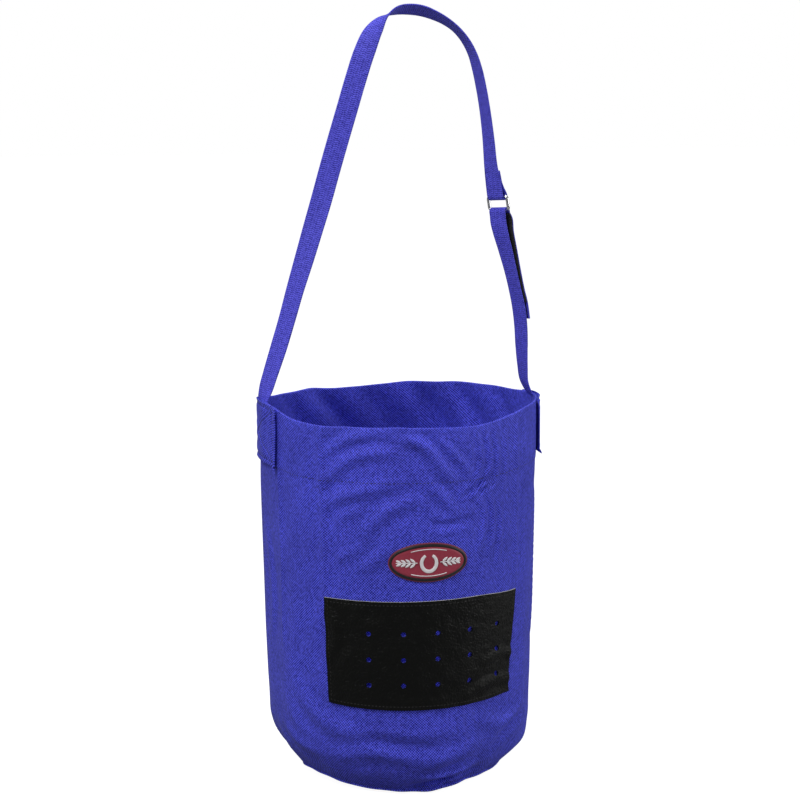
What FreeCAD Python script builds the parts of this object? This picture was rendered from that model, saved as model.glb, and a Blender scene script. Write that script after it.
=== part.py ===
import FreeCAD, Part
import math
import os

# Horse feed bag: a soft nylon tube with a sewn-in base, a perforated leather front,
# an oval badge and a webbing head strap closed by a wire ring and a hook-and-loop tail.
# +Z is up, the front of the bag faces -Y, and the origin is the point the strap hangs
# from: the underside of the webbing at the top of the hoop.

os.makedirs("parts", exist_ok=True)
doc = FreeCAD.newDocument("feed_bag")
V = FreeCAD.Vector

# ---------------------------------------------------------------- driving dimensions
SIZES = (
    ("hang_drop", 367.0, "top of the hoop down to the rim of the bag"),
    ("hinge_rise", 17.0, "line the bag swings about, above the rim"),
    ("wall", 1.2, "bag cloth with its lining coat"),
    ("base_thick", 2.0, "doubled base cloth"),
    ("base_radius", 99.0, "base panel"),
    ("hem_depth", 55.0, "turned hem at the mouth"),
    ("hem_thick", 0.8, "cloth of the hem"),
    ("panel_top", 165.0, "leather top edge below the rim"),
    ("panel_height", 102.0, "leather panel, top to bottom"),
    ("panel_width", 176.0, "leather panel, straight across"),
    ("panel_corner", 4.0, "rounded corner of the leather"),
    ("leather", 1.6, "leather thickness"),
    ("vent_diameter", 5.0, "punched breathing hole in the leather"),
    ("vent_inner", 4.2, "the same hole in the cloth"),
    ("vent_pitch_turn", 14.2, "degrees between columns of holes"),
    ("vent_turn", 4.4, "degrees the middle column stands off the centre"),
    ("vent_pitch_drop", 24.6, "between rows of holes"),
    ("vent_first_drop", 195.5, "first row of holes below the rim"),
    ("badge_drop", 128.0, "badge centre below the rim"),
    ("badge_half_width", 37.0, "oval badge"),
    ("badge_half_height", 18.5, "oval badge"),
    ("badge_edge", 1.6, "coloured outer edge of the badge"),
    ("badge_band", 2.4, "dark band inside the edge"),
    ("patch_width", 58.0, "anchor patch along the rim"),
    ("patch_height", 60.0, "anchor patch down the bag"),
    ("patch_thick", 1.2, "anchor patch cloth"),
    ("webbing_width", 20.0, "head strap"),
    ("webbing_thick", 1.6, "head strap"),
    ("tape_width", 17.0, "hook and loop tapes"),
    ("tape_thick", 1.1, "hook and loop tapes"),
    ("wire_radius", 1.6, "ring wire"),
    ("ring_height", 13.0, "between the two bars of the ring"),
    ("ring_width", 24.4, "between the two legs of the ring"),
    ("ring_corner", 3.0, "bend of the ring wire"),
    ("fold_inside", 2.1, "inner radius of the sewn fold"),
    ("fold_length", 28.0, "sewn fold above the ring"),
    ("turn_inside", 4.2, "inner radius of the loose turn"),
    ("turn_drop", 14.6, "centre of the loose turn below the upper bar"),
    ("stitch_length", 4.2, "one stitch"),
    ("stitch_pitch", 6.0, "one stitch to the next"),
    ("stitch_width", 0.8, "thread"),
)

# name, drop below the rim, half width, half depth
LEVELS = (
    ("mouth", 0.0, 131.0, 116.0),
    ("hem", 55.0, 130.5, 121.0),
    ("chest", 110.0, 129.5, 124.0),
    ("upper", 165.0, 128.5, 125.0),
    ("belly", 220.0, 128.0, 125.5),
    ("lower", 268.0, 127.5, 125.0),
    ("turnin", 308.0, 125.8, 123.5),
    ("round", 323.0, 122.0, 120.5),
    ("hip", 337.0, 115.0, 114.0),
    ("foot", 349.0, 106.0, 105.6),
    ("seam", 357.0, 99.5, 99.4),
)

sheet = doc.addObject("Spreadsheet::Sheet", "Dim")
row = 1
for alias, value, note in SIZES:
    sheet.set("A%d" % row, note)
    sheet.set("B%d" % row, str(value))
    sheet.setAlias("B%d" % row, alias)
    row += 1
for level, drop, half_width, half_depth in LEVELS:
    for prefix, value in (("drop_", drop), ("wide_", half_width), ("deep_", half_depth)):
        sheet.set("A%d" % row, "bag section at the " + level)
        sheet.set("B%d" % row, str(value))
        sheet.setAlias("B%d" % row, prefix + level)
        row += 1
doc.recompute()


def size(alias):
    return float(sheet.get(alias))


RIM = -size("hang_drop")
SEAM_DROP = size("drop_seam")
nodes = []


def keep(obj, name):
    obj.Label = name
    nodes.append(obj)
    return obj


# ---------------------------------------------------------------- solids by expression
def tube(name, standoff):
    """Closed solid with the outline of the bag, standing off the cloth by an amount."""
    sections = []
    for level, drop, half_width, half_depth in LEVELS:
        ring = doc.addObject("Part::Ellipse", "%s_%s" % (name, level))
        ring.setExpression("MajorRadius", "Dim.wide_%s + %s" % (level, standoff))
        ring.setExpression("MinorRadius", "Dim.deep_%s + %s" % (level, standoff))
        ring.setExpression("Placement.Base.z", "-Dim.hang_drop - Dim.drop_%s" % level)
        sections.append(ring)
    loft = doc.addObject("Part::Loft", name)
    loft.Sections = sections
    loft.Solid = True
    loft.Ruled = True
    return loft


def box(name, length, width, height, x, y, z):
    obj = doc.addObject("Part::Box", name)
    obj.setExpression("Length", length)
    obj.setExpression("Width", width)
    obj.setExpression("Height", height)
    obj.setExpression("Placement.Base.x", x)
    obj.setExpression("Placement.Base.y", y)
    obj.setExpression("Placement.Base.z", z)
    return obj


def cut(name, base, tool):
    obj = doc.addObject("Part::Cut", name)
    obj.Base = base
    obj.Tool = tool
    return obj


def common(name, base, tool):
    obj = doc.addObject("Part::Common", name)
    obj.Base = base
    obj.Tool = tool
    return obj


def fused(name, shapes):
    obj = doc.addObject("Part::MultiFuse", name)
    obj.Shapes = shapes
    return obj


def oval_prism(name, half_width, half_height, drop):
    """Oval cutter standing out of the front of the bag."""
    oval = doc.addObject("Part::Ellipse", name + "_outline")
    oval.setExpression("MajorRadius", half_width)
    oval.setExpression("MinorRadius", half_height)
    prism = doc.addObject("Part::Extrusion", name)
    prism.Base = oval
    prism.DirMode = "Custom"
    prism.Dir = V(0, 0, 1)
    prism.LengthFwd = 90.0
    prism.Solid = True
    prism.Placement = FreeCAD.Placement(V(0, -60, 0), FreeCAD.Rotation(V(1, 0, 0), 90))
    prism.setExpression("Placement.Base.z", "-Dim.hang_drop - " + drop)
    return prism


# bag cloth: two half tubes
outer = tube("cloth_outer", "0")
inner = tube("cloth_inner", "-Dim.wall")
cloth_a = cut("cloth_a", outer, inner)
inner_b = tube("cloth_inner_b", "-Dim.wall")
outer_b = tube("cloth_outer_b", "0")
cloth_b = cut("cloth_b", outer_b, inner_b)
front_half = box("front_half", "300", "150", "Dim.drop_seam + 2",
                 "-150", "-150", "-Dim.hang_drop - Dim.drop_seam - 1")
back_half = box("back_half", "300", "150", "Dim.drop_seam + 2",
                "-150", "0", "-Dim.hang_drop - Dim.drop_seam - 1")
front_blank = common("front_blank", cloth_a, front_half)
keep(common("back", cloth_b, back_half), "back_panel")


def vents(name, diameter):
    """Three rows of five radial holes through the front."""
    pins = []
    for line in range(3):
        for column in range(5):
            pin = doc.addObject("Part::Cylinder", "%s_%d_%d" % (name, line, column))
            pin.setExpression("Radius", diameter + " / 2")
            pin.Height = 40.0
            drop = size("vent_first_drop") + line * size("vent_pitch_drop")
            turn = size("vent_turn") + (column - 2) * size("vent_pitch_turn")
            out = V(math.sin(math.radians(turn)), -math.cos(math.radians(turn)), 0)
            start = V(out.x * 105, out.y * 105, RIM - drop)
            pin.Placement = FreeCAD.Placement(start, FreeCAD.Rotation(V(0, 0, 1), out))
            pins.append(pin)
    return fused(name, pins)


keep(cut("front", front_blank, vents("cloth_vents", "Dim.vent_inner")), "front_panel")

# turned hem inside the mouth
hem_outer = tube("hem_outer", "-Dim.wall - 0.05")
hem_inner = tube("hem_inner", "-Dim.wall - Dim.hem_thick - 0.05")
hem_band = box("hem_band", "300", "300", "Dim.hem_depth",
               "-150", "-150", "-Dim.hang_drop - Dim.hem_depth - 0.5")
keep(common("hem", cut("hem_tube", hem_outer, hem_inner), hem_band), "hem_facing")

# base panel and the tape bound round its seam
base = doc.addObject("Part::Cylinder", "base")
base.setExpression("Radius", "Dim.base_radius")
base.setExpression("Height", "Dim.base_thick")
base.setExpression("Placement.Base.z",
                   "-Dim.hang_drop - Dim.drop_seam - Dim.base_thick - 0.05")
keep(base, "base_panel")
binding_outer = doc.addObject("Part::Cylinder", "binding_outer")
binding_outer.setExpression("Radius", "Dim.base_radius + 2.4")
binding_outer.setExpression("Height", "Dim.base_thick")
binding_outer.setExpression("Placement.Base.z",
                            "-Dim.hang_drop - Dim.drop_seam - Dim.base_thick - 0.05")
binding_hole = doc.addObject("Part::Cylinder", "binding_hole")
binding_hole.setExpression("Radius", "Dim.base_radius + 0.05")
binding_hole.setExpression("Height", "Dim.base_thick + 2")
binding_hole.setExpression("Placement.Base.z",
                           "-Dim.hang_drop - Dim.drop_seam - Dim.base_thick - 1")
keep(cut("binding", binding_outer, binding_hole), "base_binding")

# leather panel lying on the front
skin_out = tube("leather_outer", "Dim.leather + 0.05")
skin_in = tube("leather_inner", "0.05")
leather_skin = cut("leather_skin", skin_out, skin_in)
outline = box("leather_outline", "Dim.panel_width", "110", "Dim.panel_height",
              "-Dim.panel_width / 2 + 1", "-170",
              "-Dim.hang_drop - Dim.panel_top - Dim.panel_height")
rounded = doc.addObject("Part::Fillet", "leather_rounded")
rounded.Base = outline
doc.recompute()
upright = []
for index, edge in enumerate(outline.Shape.Edges, 1):
    ends = edge.Vertexes
    if abs(ends[0].Point.x - ends[1].Point.x) < 0.01:
        if abs(ends[0].Point.z - ends[1].Point.z) < 0.01:
            upright.append((index, size("panel_corner"), size("panel_corner")))
rounded.Edges = upright
leather_blank = common("leather_blank", leather_skin, rounded)
keep(cut("leather", leather_blank, vents("leather_vents", "Dim.vent_diameter")),
     "muzzle_panel")


# oval badge in layers: edge, band, field, raised motif
def badge_layer(name, low, high, half_width, half_height, hole=None):
    skin = cut(name + "_skin", tube(name + "_top", high), tube(name + "_bottom", low))
    plate = common(name + "_plate", skin,
                   oval_prism(name + "_oval", half_width, half_height, "Dim.badge_drop"))
    if hole is None:
        return plate
    bore = oval_prism(name + "_bore", hole[0], hole[1], "Dim.badge_drop")
    return cut(name, plate, bore)


EDGE = "Dim.badge_edge"
BAND = "Dim.badge_edge - Dim.badge_band"
keep(badge_layer("backing", "0.05", "1.25", "Dim.badge_half_width",
                 "Dim.badge_half_height"), "badge_backing")
keep(badge_layer("band", "1.3", "2.1",
                 "Dim.badge_half_width - " + EDGE, "Dim.badge_half_height - " + EDGE,
                 ("Dim.badge_half_width - " + BAND, "Dim.badge_half_height - " + BAND)),
     "badge_band")
keep(badge_layer("field", "1.3", "1.8",
                 "Dim.badge_half_width - %s - 0.05" % BAND,
                 "Dim.badge_half_height - %s - 0.05" % BAND), "badge_field")


# ---------------------------------------------------------------- solids by functions
def wall_at(drop):
    """Half width and half depth of the cloth at a drop below the rim."""
    above = LEVELS[0]
    for level in LEVELS[1:]:
        if drop <= level[1]:
            part = (drop - above[1]) / (level[1] - above[1])
            half_width = above[2] + (level[2] - above[2]) * part
            half_depth = above[3] + (level[3] - above[3]) * part
            return half_width, half_depth
        above = level
    return above[2], above[3]


def on_wall(turn, drop, standoff=0.0):
    """Point and outward direction on the bag: turn in degrees from the front to +X."""
    half_width, half_depth = wall_at(drop)
    angle = math.radians(turn)
    point = V(half_width * math.sin(angle), -half_depth * math.cos(angle), RIM - drop)
    out = V(math.sin(angle) / half_width, -math.cos(angle) / half_depth, 0)
    out.normalize()
    return point + out * standoff, out


def stitch(point, along, out):
    """One stitch lying on a surface."""
    length = size("stitch_length")
    width = size("stitch_width")
    solid = Part.makeBox(length, width, width, V(-length / 2, -width / 2, -width / 2))
    side = out.cross(along)
    solid.Placement = FreeCAD.Placement(point, FreeCAD.Rotation(along, side, out, "XZY"))
    return solid


def stitch_line(start, end, standoff, pitch=None):
    """Stitches on the bag from one (turn, drop) to another."""
    pitch = pitch or size("stitch_pitch")
    first, out = on_wall(start[0], start[1], standoff)
    steps = 60
    length = 0.0
    last = first
    for step in range(1, steps + 1):
        part = step / steps
        point, out = on_wall(start[0] + (end[0] - start[0]) * part,
                             start[1] + (end[1] - start[1]) * part, standoff)
        length += (point - last).Length
        last = point
    count = max(1, int(length / pitch))
    run = []
    for number in range(count):
        part = (number + 0.5) / count
        turn = start[0] + (end[0] - start[0]) * part
        drop = start[1] + (end[1] - start[1]) * part
        here, out = on_wall(turn, drop, standoff)
        ahead, _ = on_wall(turn + (end[0] - start[0]) * 0.002,
                           drop + (end[1] - start[1]) * 0.002, standoff)
        along = ahead - here
        along.normalize()
        run.append(stitch(here, along, out))
    return run


def feature(name, label, solids, placement=None):
    """A named node from finished solids."""
    obj = doc.addObject("Part::Feature", name)
    obj.Shape = solids[0] if len(solids) == 1 else Part.makeCompound(solids)
    obj.Placement = placement or FreeCAD.Placement()
    return keep(obj, label)


HEM_LINE = size("hem_depth") - 2.0
feature("hem_thread", "hem_stitching", stitch_line((-180, HEM_LINE), (180, HEM_LINE), 0.0))
feature("base_thread", "base_seam_stitching", stitch_line((-180, 353), (180, 353), 0.0))
side_thread = []
for turn in (-93.5, 86.5):
    side_thread += stitch_line((turn, 66), (turn, 306), 0.0)
feature("side_thread", "side_seam_stitching", side_thread)

# leather stitching runs just inside the panel edge
PANEL_TURN = math.degrees(math.asin((size("panel_width") / 2 - 3) / size("wide_upper")))
TOP = size("panel_top") + 3
FOOT = size("panel_top") + size("panel_height") - 3
ON_LEATHER = size("leather")
leather_thread = stitch_line((-PANEL_TURN, TOP), (PANEL_TURN, TOP), ON_LEATHER)
leather_thread += stitch_line((-PANEL_TURN, FOOT), (PANEL_TURN, FOOT), ON_LEATHER)
for side in (-1, 1):
    leather_thread += stitch_line((side * PANEL_TURN, TOP + 5),
                                  (side * PANEL_TURN, FOOT - 5), ON_LEATHER)
feature("leather_thread", "muzzle_panel_stitching", leather_thread)

# badge stitching follows the dark band
badge_thread = []
BADGE_STITCHES = 30
mid_wide = size("badge_half_width") - size("badge_edge") - size("badge_band") / 2
mid_high = size("badge_half_height") - size("badge_edge") - size("badge_band") / 2
for number in range(BADGE_STITCHES):
    angle = 2 * math.pi * number / BADGE_STITCHES
    turn = math.degrees(math.asin(mid_wide * math.cos(angle) / size("deep_chest")))
    here, out = on_wall(turn, size("badge_drop") - mid_high * math.sin(angle), 2.3)
    along = V(-mid_wide * math.sin(angle), 0, mid_high * math.cos(angle))
    along = along - out * along.dot(out)
    along.normalize()
    badge_thread.append(stitch(here, along, out))
feature("badge_thread", "badge_stitching", badge_thread)

# raised motif: a horseshoe between two ears of oats
motif = []
shoe_outer = Part.makeCylinder(9.0, 8.0)
shoe_inner = Part.makeCylinder(5.8, 8.0)
shoe_gap = Part.makeBox(7.0, 12.0, 8.0, V(-3.5, 0.0, 0.0))
shoe = shoe_outer.cut(shoe_inner).cut(shoe_gap)
motif.append(shoe)
for side in (-1, 1):
    for step in range(3):
        grain = Part.makeCylinder(1.9, 8.0)
        stretched = FreeCAD.Matrix()
        stretched.scale(1.6, 0.8, 1.0)
        grain = grain.transformGeometry(stretched)
        spot = V(side * (14.5 + 4.6 * step), -1.5 + 2.4 * (step % 2), 0)
        grain.Placement = FreeCAD.Placement(spot, FreeCAD.Rotation(V(0, 0, 1), 35 * side))
        motif.append(grain)
chest_out = size("deep_chest")
motif_solids = []
field_skin = Part.makeCylinder(chest_out + 2.35, 60, V(0, 0, RIM - size("badge_drop") - 30))
field_skin = field_skin.cut(Part.makeCylinder(chest_out + 1.95, 60,
                                              V(0, 0, RIM - size("badge_drop") - 30)))
for part in motif:
    stand = FreeCAD.Placement(V(0, -chest_out + 2.5, RIM - size("badge_drop")),
                              FreeCAD.Rotation(V(1, 0, 0), 90))
    part.Placement = stand.multiply(part.Placement)
    motif_solids += part.common(field_skin).Solids
feature("motif", "badge_motif", motif_solids)


# ---------------------------------------------------------------- webbing
WIDTH = size("webbing_width")
THICK = size("webbing_thick")


def webbing(stations, width, thick):
    """Flat webbing through stations of (centre, across, along)."""
    wires = []
    for centre, across, along in stations:
        flat = along.cross(across)
        flat.normalize()
        a = across * (width / 2)
        n = flat * (thick / 2)
        corners = [centre - a - n, centre + a - n, centre + a + n, centre - a + n]
        wires.append(Part.makePolygon(corners + [corners[0]]))
    return Part.makeLoft(wires, True, False)


def stations_of(route, end_along=None, start_along=None):
    """Stations from a route of (x, y, z, turn, tilt); turn 0 lies along +X."""
    points = [V(step[0], step[1], step[2]) for step in route]
    result = []
    for index, step in enumerate(route):
        before = points[max(0, index - 1)]
        after = points[min(len(points) - 1, index + 1)]
        along = after - before
        if index == len(route) - 1 and end_along is not None:
            along = V(end_along)
        if index == 0 and start_along is not None:
            along = V(start_along)
        along.normalize()
        turn = math.radians(step[3])
        tilt = math.radians(step[4])
        across = V(math.cos(turn) * math.cos(tilt), math.sin(turn) * math.cos(tilt),
                   math.sin(tilt))
        across = across - along * across.dot(along)
        across.normalize()
        result.append((points[index], across, along))
    return result


def beside(stations, distance):
    """The same stations moved out of the hoop, square to the webbing."""
    moved = []
    for index, (centre, across, along) in enumerate(stations):
        flat = along.cross(across)
        flat.normalize()
        step = distance[index] if isinstance(distance, (list, tuple)) else distance
        moved.append((centre - flat * step, across, along))
    return moved


# frame of the ring: X along its bars, Z up the strap, -Y towards the inside of the hoop
RING_TURN = -57.0
RING_LEAN = math.radians(9.0)
down = V(math.sin(RING_LEAN), 0, -math.cos(RING_LEAN))
bar = V(math.cos(math.radians(RING_TURN)), math.sin(math.radians(RING_TURN)), 0)
bar = bar - down * bar.dot(down)
bar.normalize()
inward = down.cross(bar)
FOLD_CENTRE = size("fold_inside") + THICK / 2
strap_at_ring = V(93.8, 0, -174.0)
upper_bar = strap_at_ring - inward * FOLD_CENTRE
ring_place = FreeCAD.Placement(upper_bar,
                               FreeCAD.Rotation(bar, inward * -1, down * -1, "XZY"))

# the upper strap climbs from the left anchor, crosses the crown and comes down to the ring
fold_top = strap_at_ring - down * size("fold_length")
HINGE = RIM + size("hinge_rise")
END_ROUND = 0.3
END_GAP = 0.8
STRAP_END = HINGE + WIDTH / 2 + END_GAP
upper_route = (
    (-124.5, 0, STRAP_END, -70, 0),
    (-116.0, 0, -314.0, -52, 0),
    (-108.0, 0, -286.0, -49, 0),
    (-100.0, 0, -258.0, -45, 0),
    (-91.0, 0, -229.0, -36, 0),
    (-82.5, 0, -201.0, -28, 0),
    (-74.0, 0, -173.0, -19, 0),
    (-66.0, 0, -145.0, -13, 0),
    (-58.0, 0, -118.0, -12, 0),
    (-49.5, 0, -90.0, -12, 0),
    (-41.0, 0, -62.0, -14, 0),
    (-33.0, 0, -38.0, -22, 0),
    (-24.0, 0, -18.0, -42, 4),
    (-13.0, 0, -4.8, -68, 14),
    (-1.0, 0, 0.9, -86, 24),
    (11.0, 0, 1.7, -90, 28),
    (22.0, 0, 0.2, -90, 27),
    (33.0, 0, -3.6, -90, 22),
    (44.0, 0, -9.0, -88, 15),
    (55.0, 0, -17.0, -85, 8),
    (64.0, 0, -27.5, -82, 4),
    (70.5, 0, -39.5, -80, 2),
    (75.0, 0, -53.0, -77, 0),
    (79.0, 0, -70.0, -72, 0),
    (83.0, 0, -92.0, -67, 0),
    (86.5, 0, -118.0, -61, 0),
    (fold_top.x, 0, fold_top.z, RING_TURN, 0),
)
run = webbing(stations_of(upper_route, end_along=down), WIDTH, THICK)


def hairpin(inside, arm_front, arm_back, centre_z, closed_at_bottom):
    """Webbing doubled round a bar, in the frame of the ring."""
    outside = inside + THICK
    sign = -1 if closed_at_bottom else 1
    ring_solid = Part.makeCylinder(outside, WIDTH, V(-WIDTH / 2, 0, centre_z), V(1, 0, 0))
    ring_solid = ring_solid.cut(
        Part.makeCylinder(inside, WIDTH, V(-WIDTH / 2, 0, centre_z), V(1, 0, 0)))
    low = centre_z if sign > 0 else centre_z - outside
    keep_half = Part.makeBox(WIDTH, 2 * outside, outside, V(-WIDTH / 2, -outside, low))
    turn = ring_solid.common(keep_half)
    front_low = centre_z if closed_at_bottom else centre_z - arm_front
    back_low = centre_z if closed_at_bottom else centre_z - arm_back
    front = Part.makeBox(WIDTH, THICK, arm_front, V(-WIDTH / 2, -outside, front_low))
    back = Part.makeBox(WIDTH, THICK, arm_back, V(-WIDTH / 2, inside, back_low))
    return turn.fuse([front, back])


fold = hairpin(size("fold_inside"), size("fold_length"), size("fold_length"), 0.0, True)
fold.Placement = ring_place
upper = run.fuse(fold)
feature("upper", "upper_strap", [upper.removeSplitter()])

# the lower strap comes up from the right anchor and turns back over the lower bar
TURN_CENTRE = size("turn_inside") + THICK / 2
FRONT_ARM = 8.0
BACK_ARM = 2.0
turn_z = -size("turn_drop")
turn = hairpin(size("turn_inside"), FRONT_ARM, BACK_ARM, turn_z, False)
turn.Placement = ring_place
front_end = ring_place.multVec(V(0, -TURN_CENTRE, turn_z - FRONT_ARM))
lower_route = (
    (front_end.x, front_end.y, front_end.z, RING_TURN, 0),
    (99.5, -1.2, -210.0, -58, 0),
    (104.2, -0.8, -226.0, -60, 0),
    (109.6, -0.5, -245.0, -64, 0),
    (114.6, 0, -264.0, -67, 0),
    (118.6, 0, -281.0, -68, 0),
    (121.6, 0, -299.0, -69, 0),
    (123.4, 0, -319.0, -71, 0),
    (124.5, 0, STRAP_END, -74, 0),
)
lower_stations = stations_of(lower_route, start_along=down)
lower = webbing(lower_stations, WIDTH, THICK).fuse(turn)
feature("lower", "lower_strap", [lower.removeSplitter()])

# loop tape on the outside of the lower strap, hook tape on the inside of the tail
TAPE_WIDE = size("tape_width")
TAPE_THICK = size("tape_thick")
TAPE_LIFT = THICK / 2 + TAPE_THICK / 2 + 0.05
loop = webbing(beside(lower_stations[1:8], TAPE_LIFT), TAPE_WIDE, TAPE_THICK)
feature("loop", "loop_tape", [loop])

PEEL_GAP = 1.1
peel_point = ring_place.multVec(V(0, TURN_CENTRE, turn_z - BACK_ARM - PEEL_GAP))
tail_start = ring_place.multVec(V(0, TURN_CENTRE, turn_z - BACK_ARM - 2 * PEEL_GAP))
CLOSED = THICK + 2 * TAPE_THICK + 0.9
tail_stations = [(tail_start, lower_stations[0][1], lower_stations[0][2])]
tail_stations += beside(lower_stations[1:5], (9.0, 6.6, CLOSED + 0.3, CLOSED))
tip_route = ((117.4, 0, -275.5, -67, 0), (120.5, 0, -292.0, -68, 0))
tail_stations += beside(stations_of(tip_route), CLOSED)
feature("tail", "strap_tail", [webbing(tail_stations, WIDTH, THICK)])
hook = webbing(beside(tail_stations[1:6], -TAPE_LIFT), TAPE_WIDE, TAPE_THICK)
feature("hook", "hook_tape", [hook])


# sewn ends of the strap: each runs under its patch and rises above the rim
def strap_end(side):
    lean_route = (
        (side * 132.0, 0, RIM - 52.0, -90, 0),
        (side * 132.0, 0, RIM - 44.0, -90, 0),
        (side * 132.0, 0, RIM - 36.0, -90, 0),
        (side * 132.05, 0, RIM - 28.0, -90, 0),
        (side * 132.1, 0, RIM - 20.0, -90, 0),
        (side * 132.2, 0, RIM - 12.0, -90, 0),
        (side * 132.3, 0, RIM - 5.0, -90, 0),
        (side * 132.0, 0, RIM + 2.0, -90, 0),
        (side * 127.9, 0, HINGE, -90, 0),
        (side * 125.6, 0, HINGE + 9.0, -90, 0),
        (side * 124.6, 0, HINGE + 13.0, -90, 0),
    )
    blank = webbing(stations_of(lean_route), WIDTH, THICK)
    shape = Part.makeBox(300, 40, 100, V(-150, -20, HINGE - 100))
    shape = shape.fuse(Part.makeCylinder(WIDTH / 2 + END_ROUND, 300, V(-150, 0, HINGE), V(1, 0, 0)))
    return blank.common(shape)


feature("left_end", "left_strap_end", strap_end(-1).Solids)
feature("right_end", "right_strap_end", strap_end(1).Solids)

# anchor patches over the sewn ends
PATCH_LOW = 3.0
for side, label in ((-1, "left"), (1, "right")):
    patch_skin = cut(label + "_patch_skin",
                     tube(label + "_patch_top", "%.2f + Dim.patch_thick" % PATCH_LOW),
                     tube(label + "_patch_bottom", "%.2f" % PATCH_LOW))
    start = "100" if side > 0 else "-150"
    patch_box = box(label + "_patch_box", "50", "Dim.patch_width", "Dim.patch_height",
                    start, "-Dim.patch_width / 2",
                    "-Dim.hang_drop - Dim.patch_height - 2")
    keep(common(label + "_patch", patch_skin, patch_box), label + "_strap_patch")

# box and cross stitching on each patch
PATCH_ON = PATCH_LOW + size("patch_thick")
for middle, label in ((-90, "left"), (90, "right")):
    half = math.degrees((size("patch_width") / 2 - 5) / size("deep_hem"))
    high = 7.0
    deep = size("patch_height") - 3.0
    run = []
    for drop in (high, deep):
        run += stitch_line((middle - half, drop), (middle + half, drop), PATCH_ON)
    for edge in (-half, half):
        run += stitch_line((middle + edge, high + 5), (middle + edge, deep - 5), PATCH_ON)
    gap = half / 12
    run += stitch_line((middle - half + gap, high + 4), (middle - gap, 31), PATCH_ON)
    run += stitch_line((middle + gap, 34), (middle + half - gap, deep - 4), PATCH_ON)
    run += stitch_line((middle + half - gap, high + 4), (middle + gap, 31), PATCH_ON)
    run += stitch_line((middle - gap, 34), (middle - half + gap, deep - 4), PATCH_ON)
    feature(label + "_thread", label + "_patch_stitching", run)


def flat_stitch(x, z, front, turned):
    """One stitch on the webbing face, in the frame of the ring."""
    length = size("stitch_length") * 0.6
    width = size("stitch_width")
    solid = Part.makeBox(length, width, width, V(-length / 2, -width / 2, -width / 2))
    solid.Placement = FreeCAD.Placement(V(x, front, z), FreeCAD.Rotation(V(0, 1, 0), turned))
    return solid


# stitching that closes the fold above the ring
fold_thread = []
FRONT_FACE = -size("fold_inside") - THICK
for level in (8.0, 24.0):
    for step in range(-2, 3):
        fold_thread.append(flat_stitch(step * 3.6, level, FRONT_FACE, 0))
for side in (-1, 1):
    for step in range(4):
        fold_thread.append(flat_stitch(side * 8.2, 11.0 + 3.5 * step, FRONT_FACE, 90))
placed = []
for solid in fold_thread:
    solid.Placement = ring_place.multiply(solid.Placement)
    placed.append(solid)
feature("fold_thread", "ring_fold_stitching", placed)


def edge_thread(stations, offset, lift):
    """Two rows of stitches along a tape."""
    rows = []
    for (centre, across, along), (ahead, _, _) in zip(stations[:-1], stations[1:]):
        flat = along.cross(across)
        flat.normalize()
        steps = max(1, int((ahead - centre).Length / size("stitch_pitch")))
        for step in range(steps):
            for side in (-1, 1):
                spot = centre + (ahead - centre) * ((step + 0.5) / steps)
                spot = spot + across * (side * offset) - flat * lift
                rows.append(stitch(spot, along, flat * -1))
    return rows


feature("loop_thread", "loop_tape_stitching",
        edge_thread(beside(lower_stations[1:8], TAPE_LIFT), 6.8, TAPE_THICK / 2 - 0.25))
feature("hook_thread", "hook_tape_stitching",
        edge_thread(beside(tail_stations[1:6], -TAPE_LIFT), 6.8, 0.25 - TAPE_THICK / 2))


# ---------------------------------------------------------------- wire ring
def rod(name, length, x, z, axis):
    obj = doc.addObject("Part::Cylinder", name)
    obj.setExpression("Radius", "Dim.wire_radius")
    obj.setExpression("Height", length)
    turn = FreeCAD.Rotation(V(0, 1, 0), 90) if axis == "x" else FreeCAD.Rotation()
    obj.Placement = FreeCAD.Placement(V(0, 0, 0), turn)
    obj.setExpression("Placement.Base.x", x)
    obj.setExpression("Placement.Base.z", z)
    return obj


HALF = "Dim.ring_width / 2"
BEND = "Dim.ring_corner"
pieces = [
    rod("upper_rod", "Dim.ring_width - 2 * " + BEND, "-%s + %s" % (HALF, BEND), "0", "x"),
    rod("lower_rod", "Dim.ring_width - 2 * " + BEND, "-%s + %s" % (HALF, BEND),
        "-Dim.ring_height", "x"),
    rod("left_leg", "Dim.ring_height - 2 * " + BEND, "-" + HALF,
        "-Dim.ring_height + " + BEND, "z"),
    rod("right_leg", "Dim.ring_height - 2 * " + BEND, HALF,
        "-Dim.ring_height + " + BEND, "z"),
]
for name, side, low, start in (("bend_a", 1, 0, 0), ("bend_b", -1, 0, 90),
                               ("bend_c", -1, 1, 180), ("bend_d", 1, 1, 270)):
    bend = doc.addObject("Part::Torus", name)
    bend.setExpression("Radius1", BEND)
    bend.setExpression("Radius2", "Dim.wire_radius")
    bend.Angle3 = 90.0
    face = FreeCAD.Rotation(V(1, 0, 0), 90)
    bend.Placement = FreeCAD.Placement(
        V(0, 0, 0), face.multiply(FreeCAD.Rotation(V(0, 0, 1), start)))
    bend.setExpression("Placement.Base.x", "%d * (%s - %s)" % (side, HALF, BEND))
    bend.setExpression("Placement.Base.z",
                       "-Dim.ring_height + " + BEND if low else "-" + BEND)
    pieces.append(bend)
ring = fused("wire", pieces)
ring.Refine = True
ring.Placement = ring_place
keep(ring, "ring")

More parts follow.
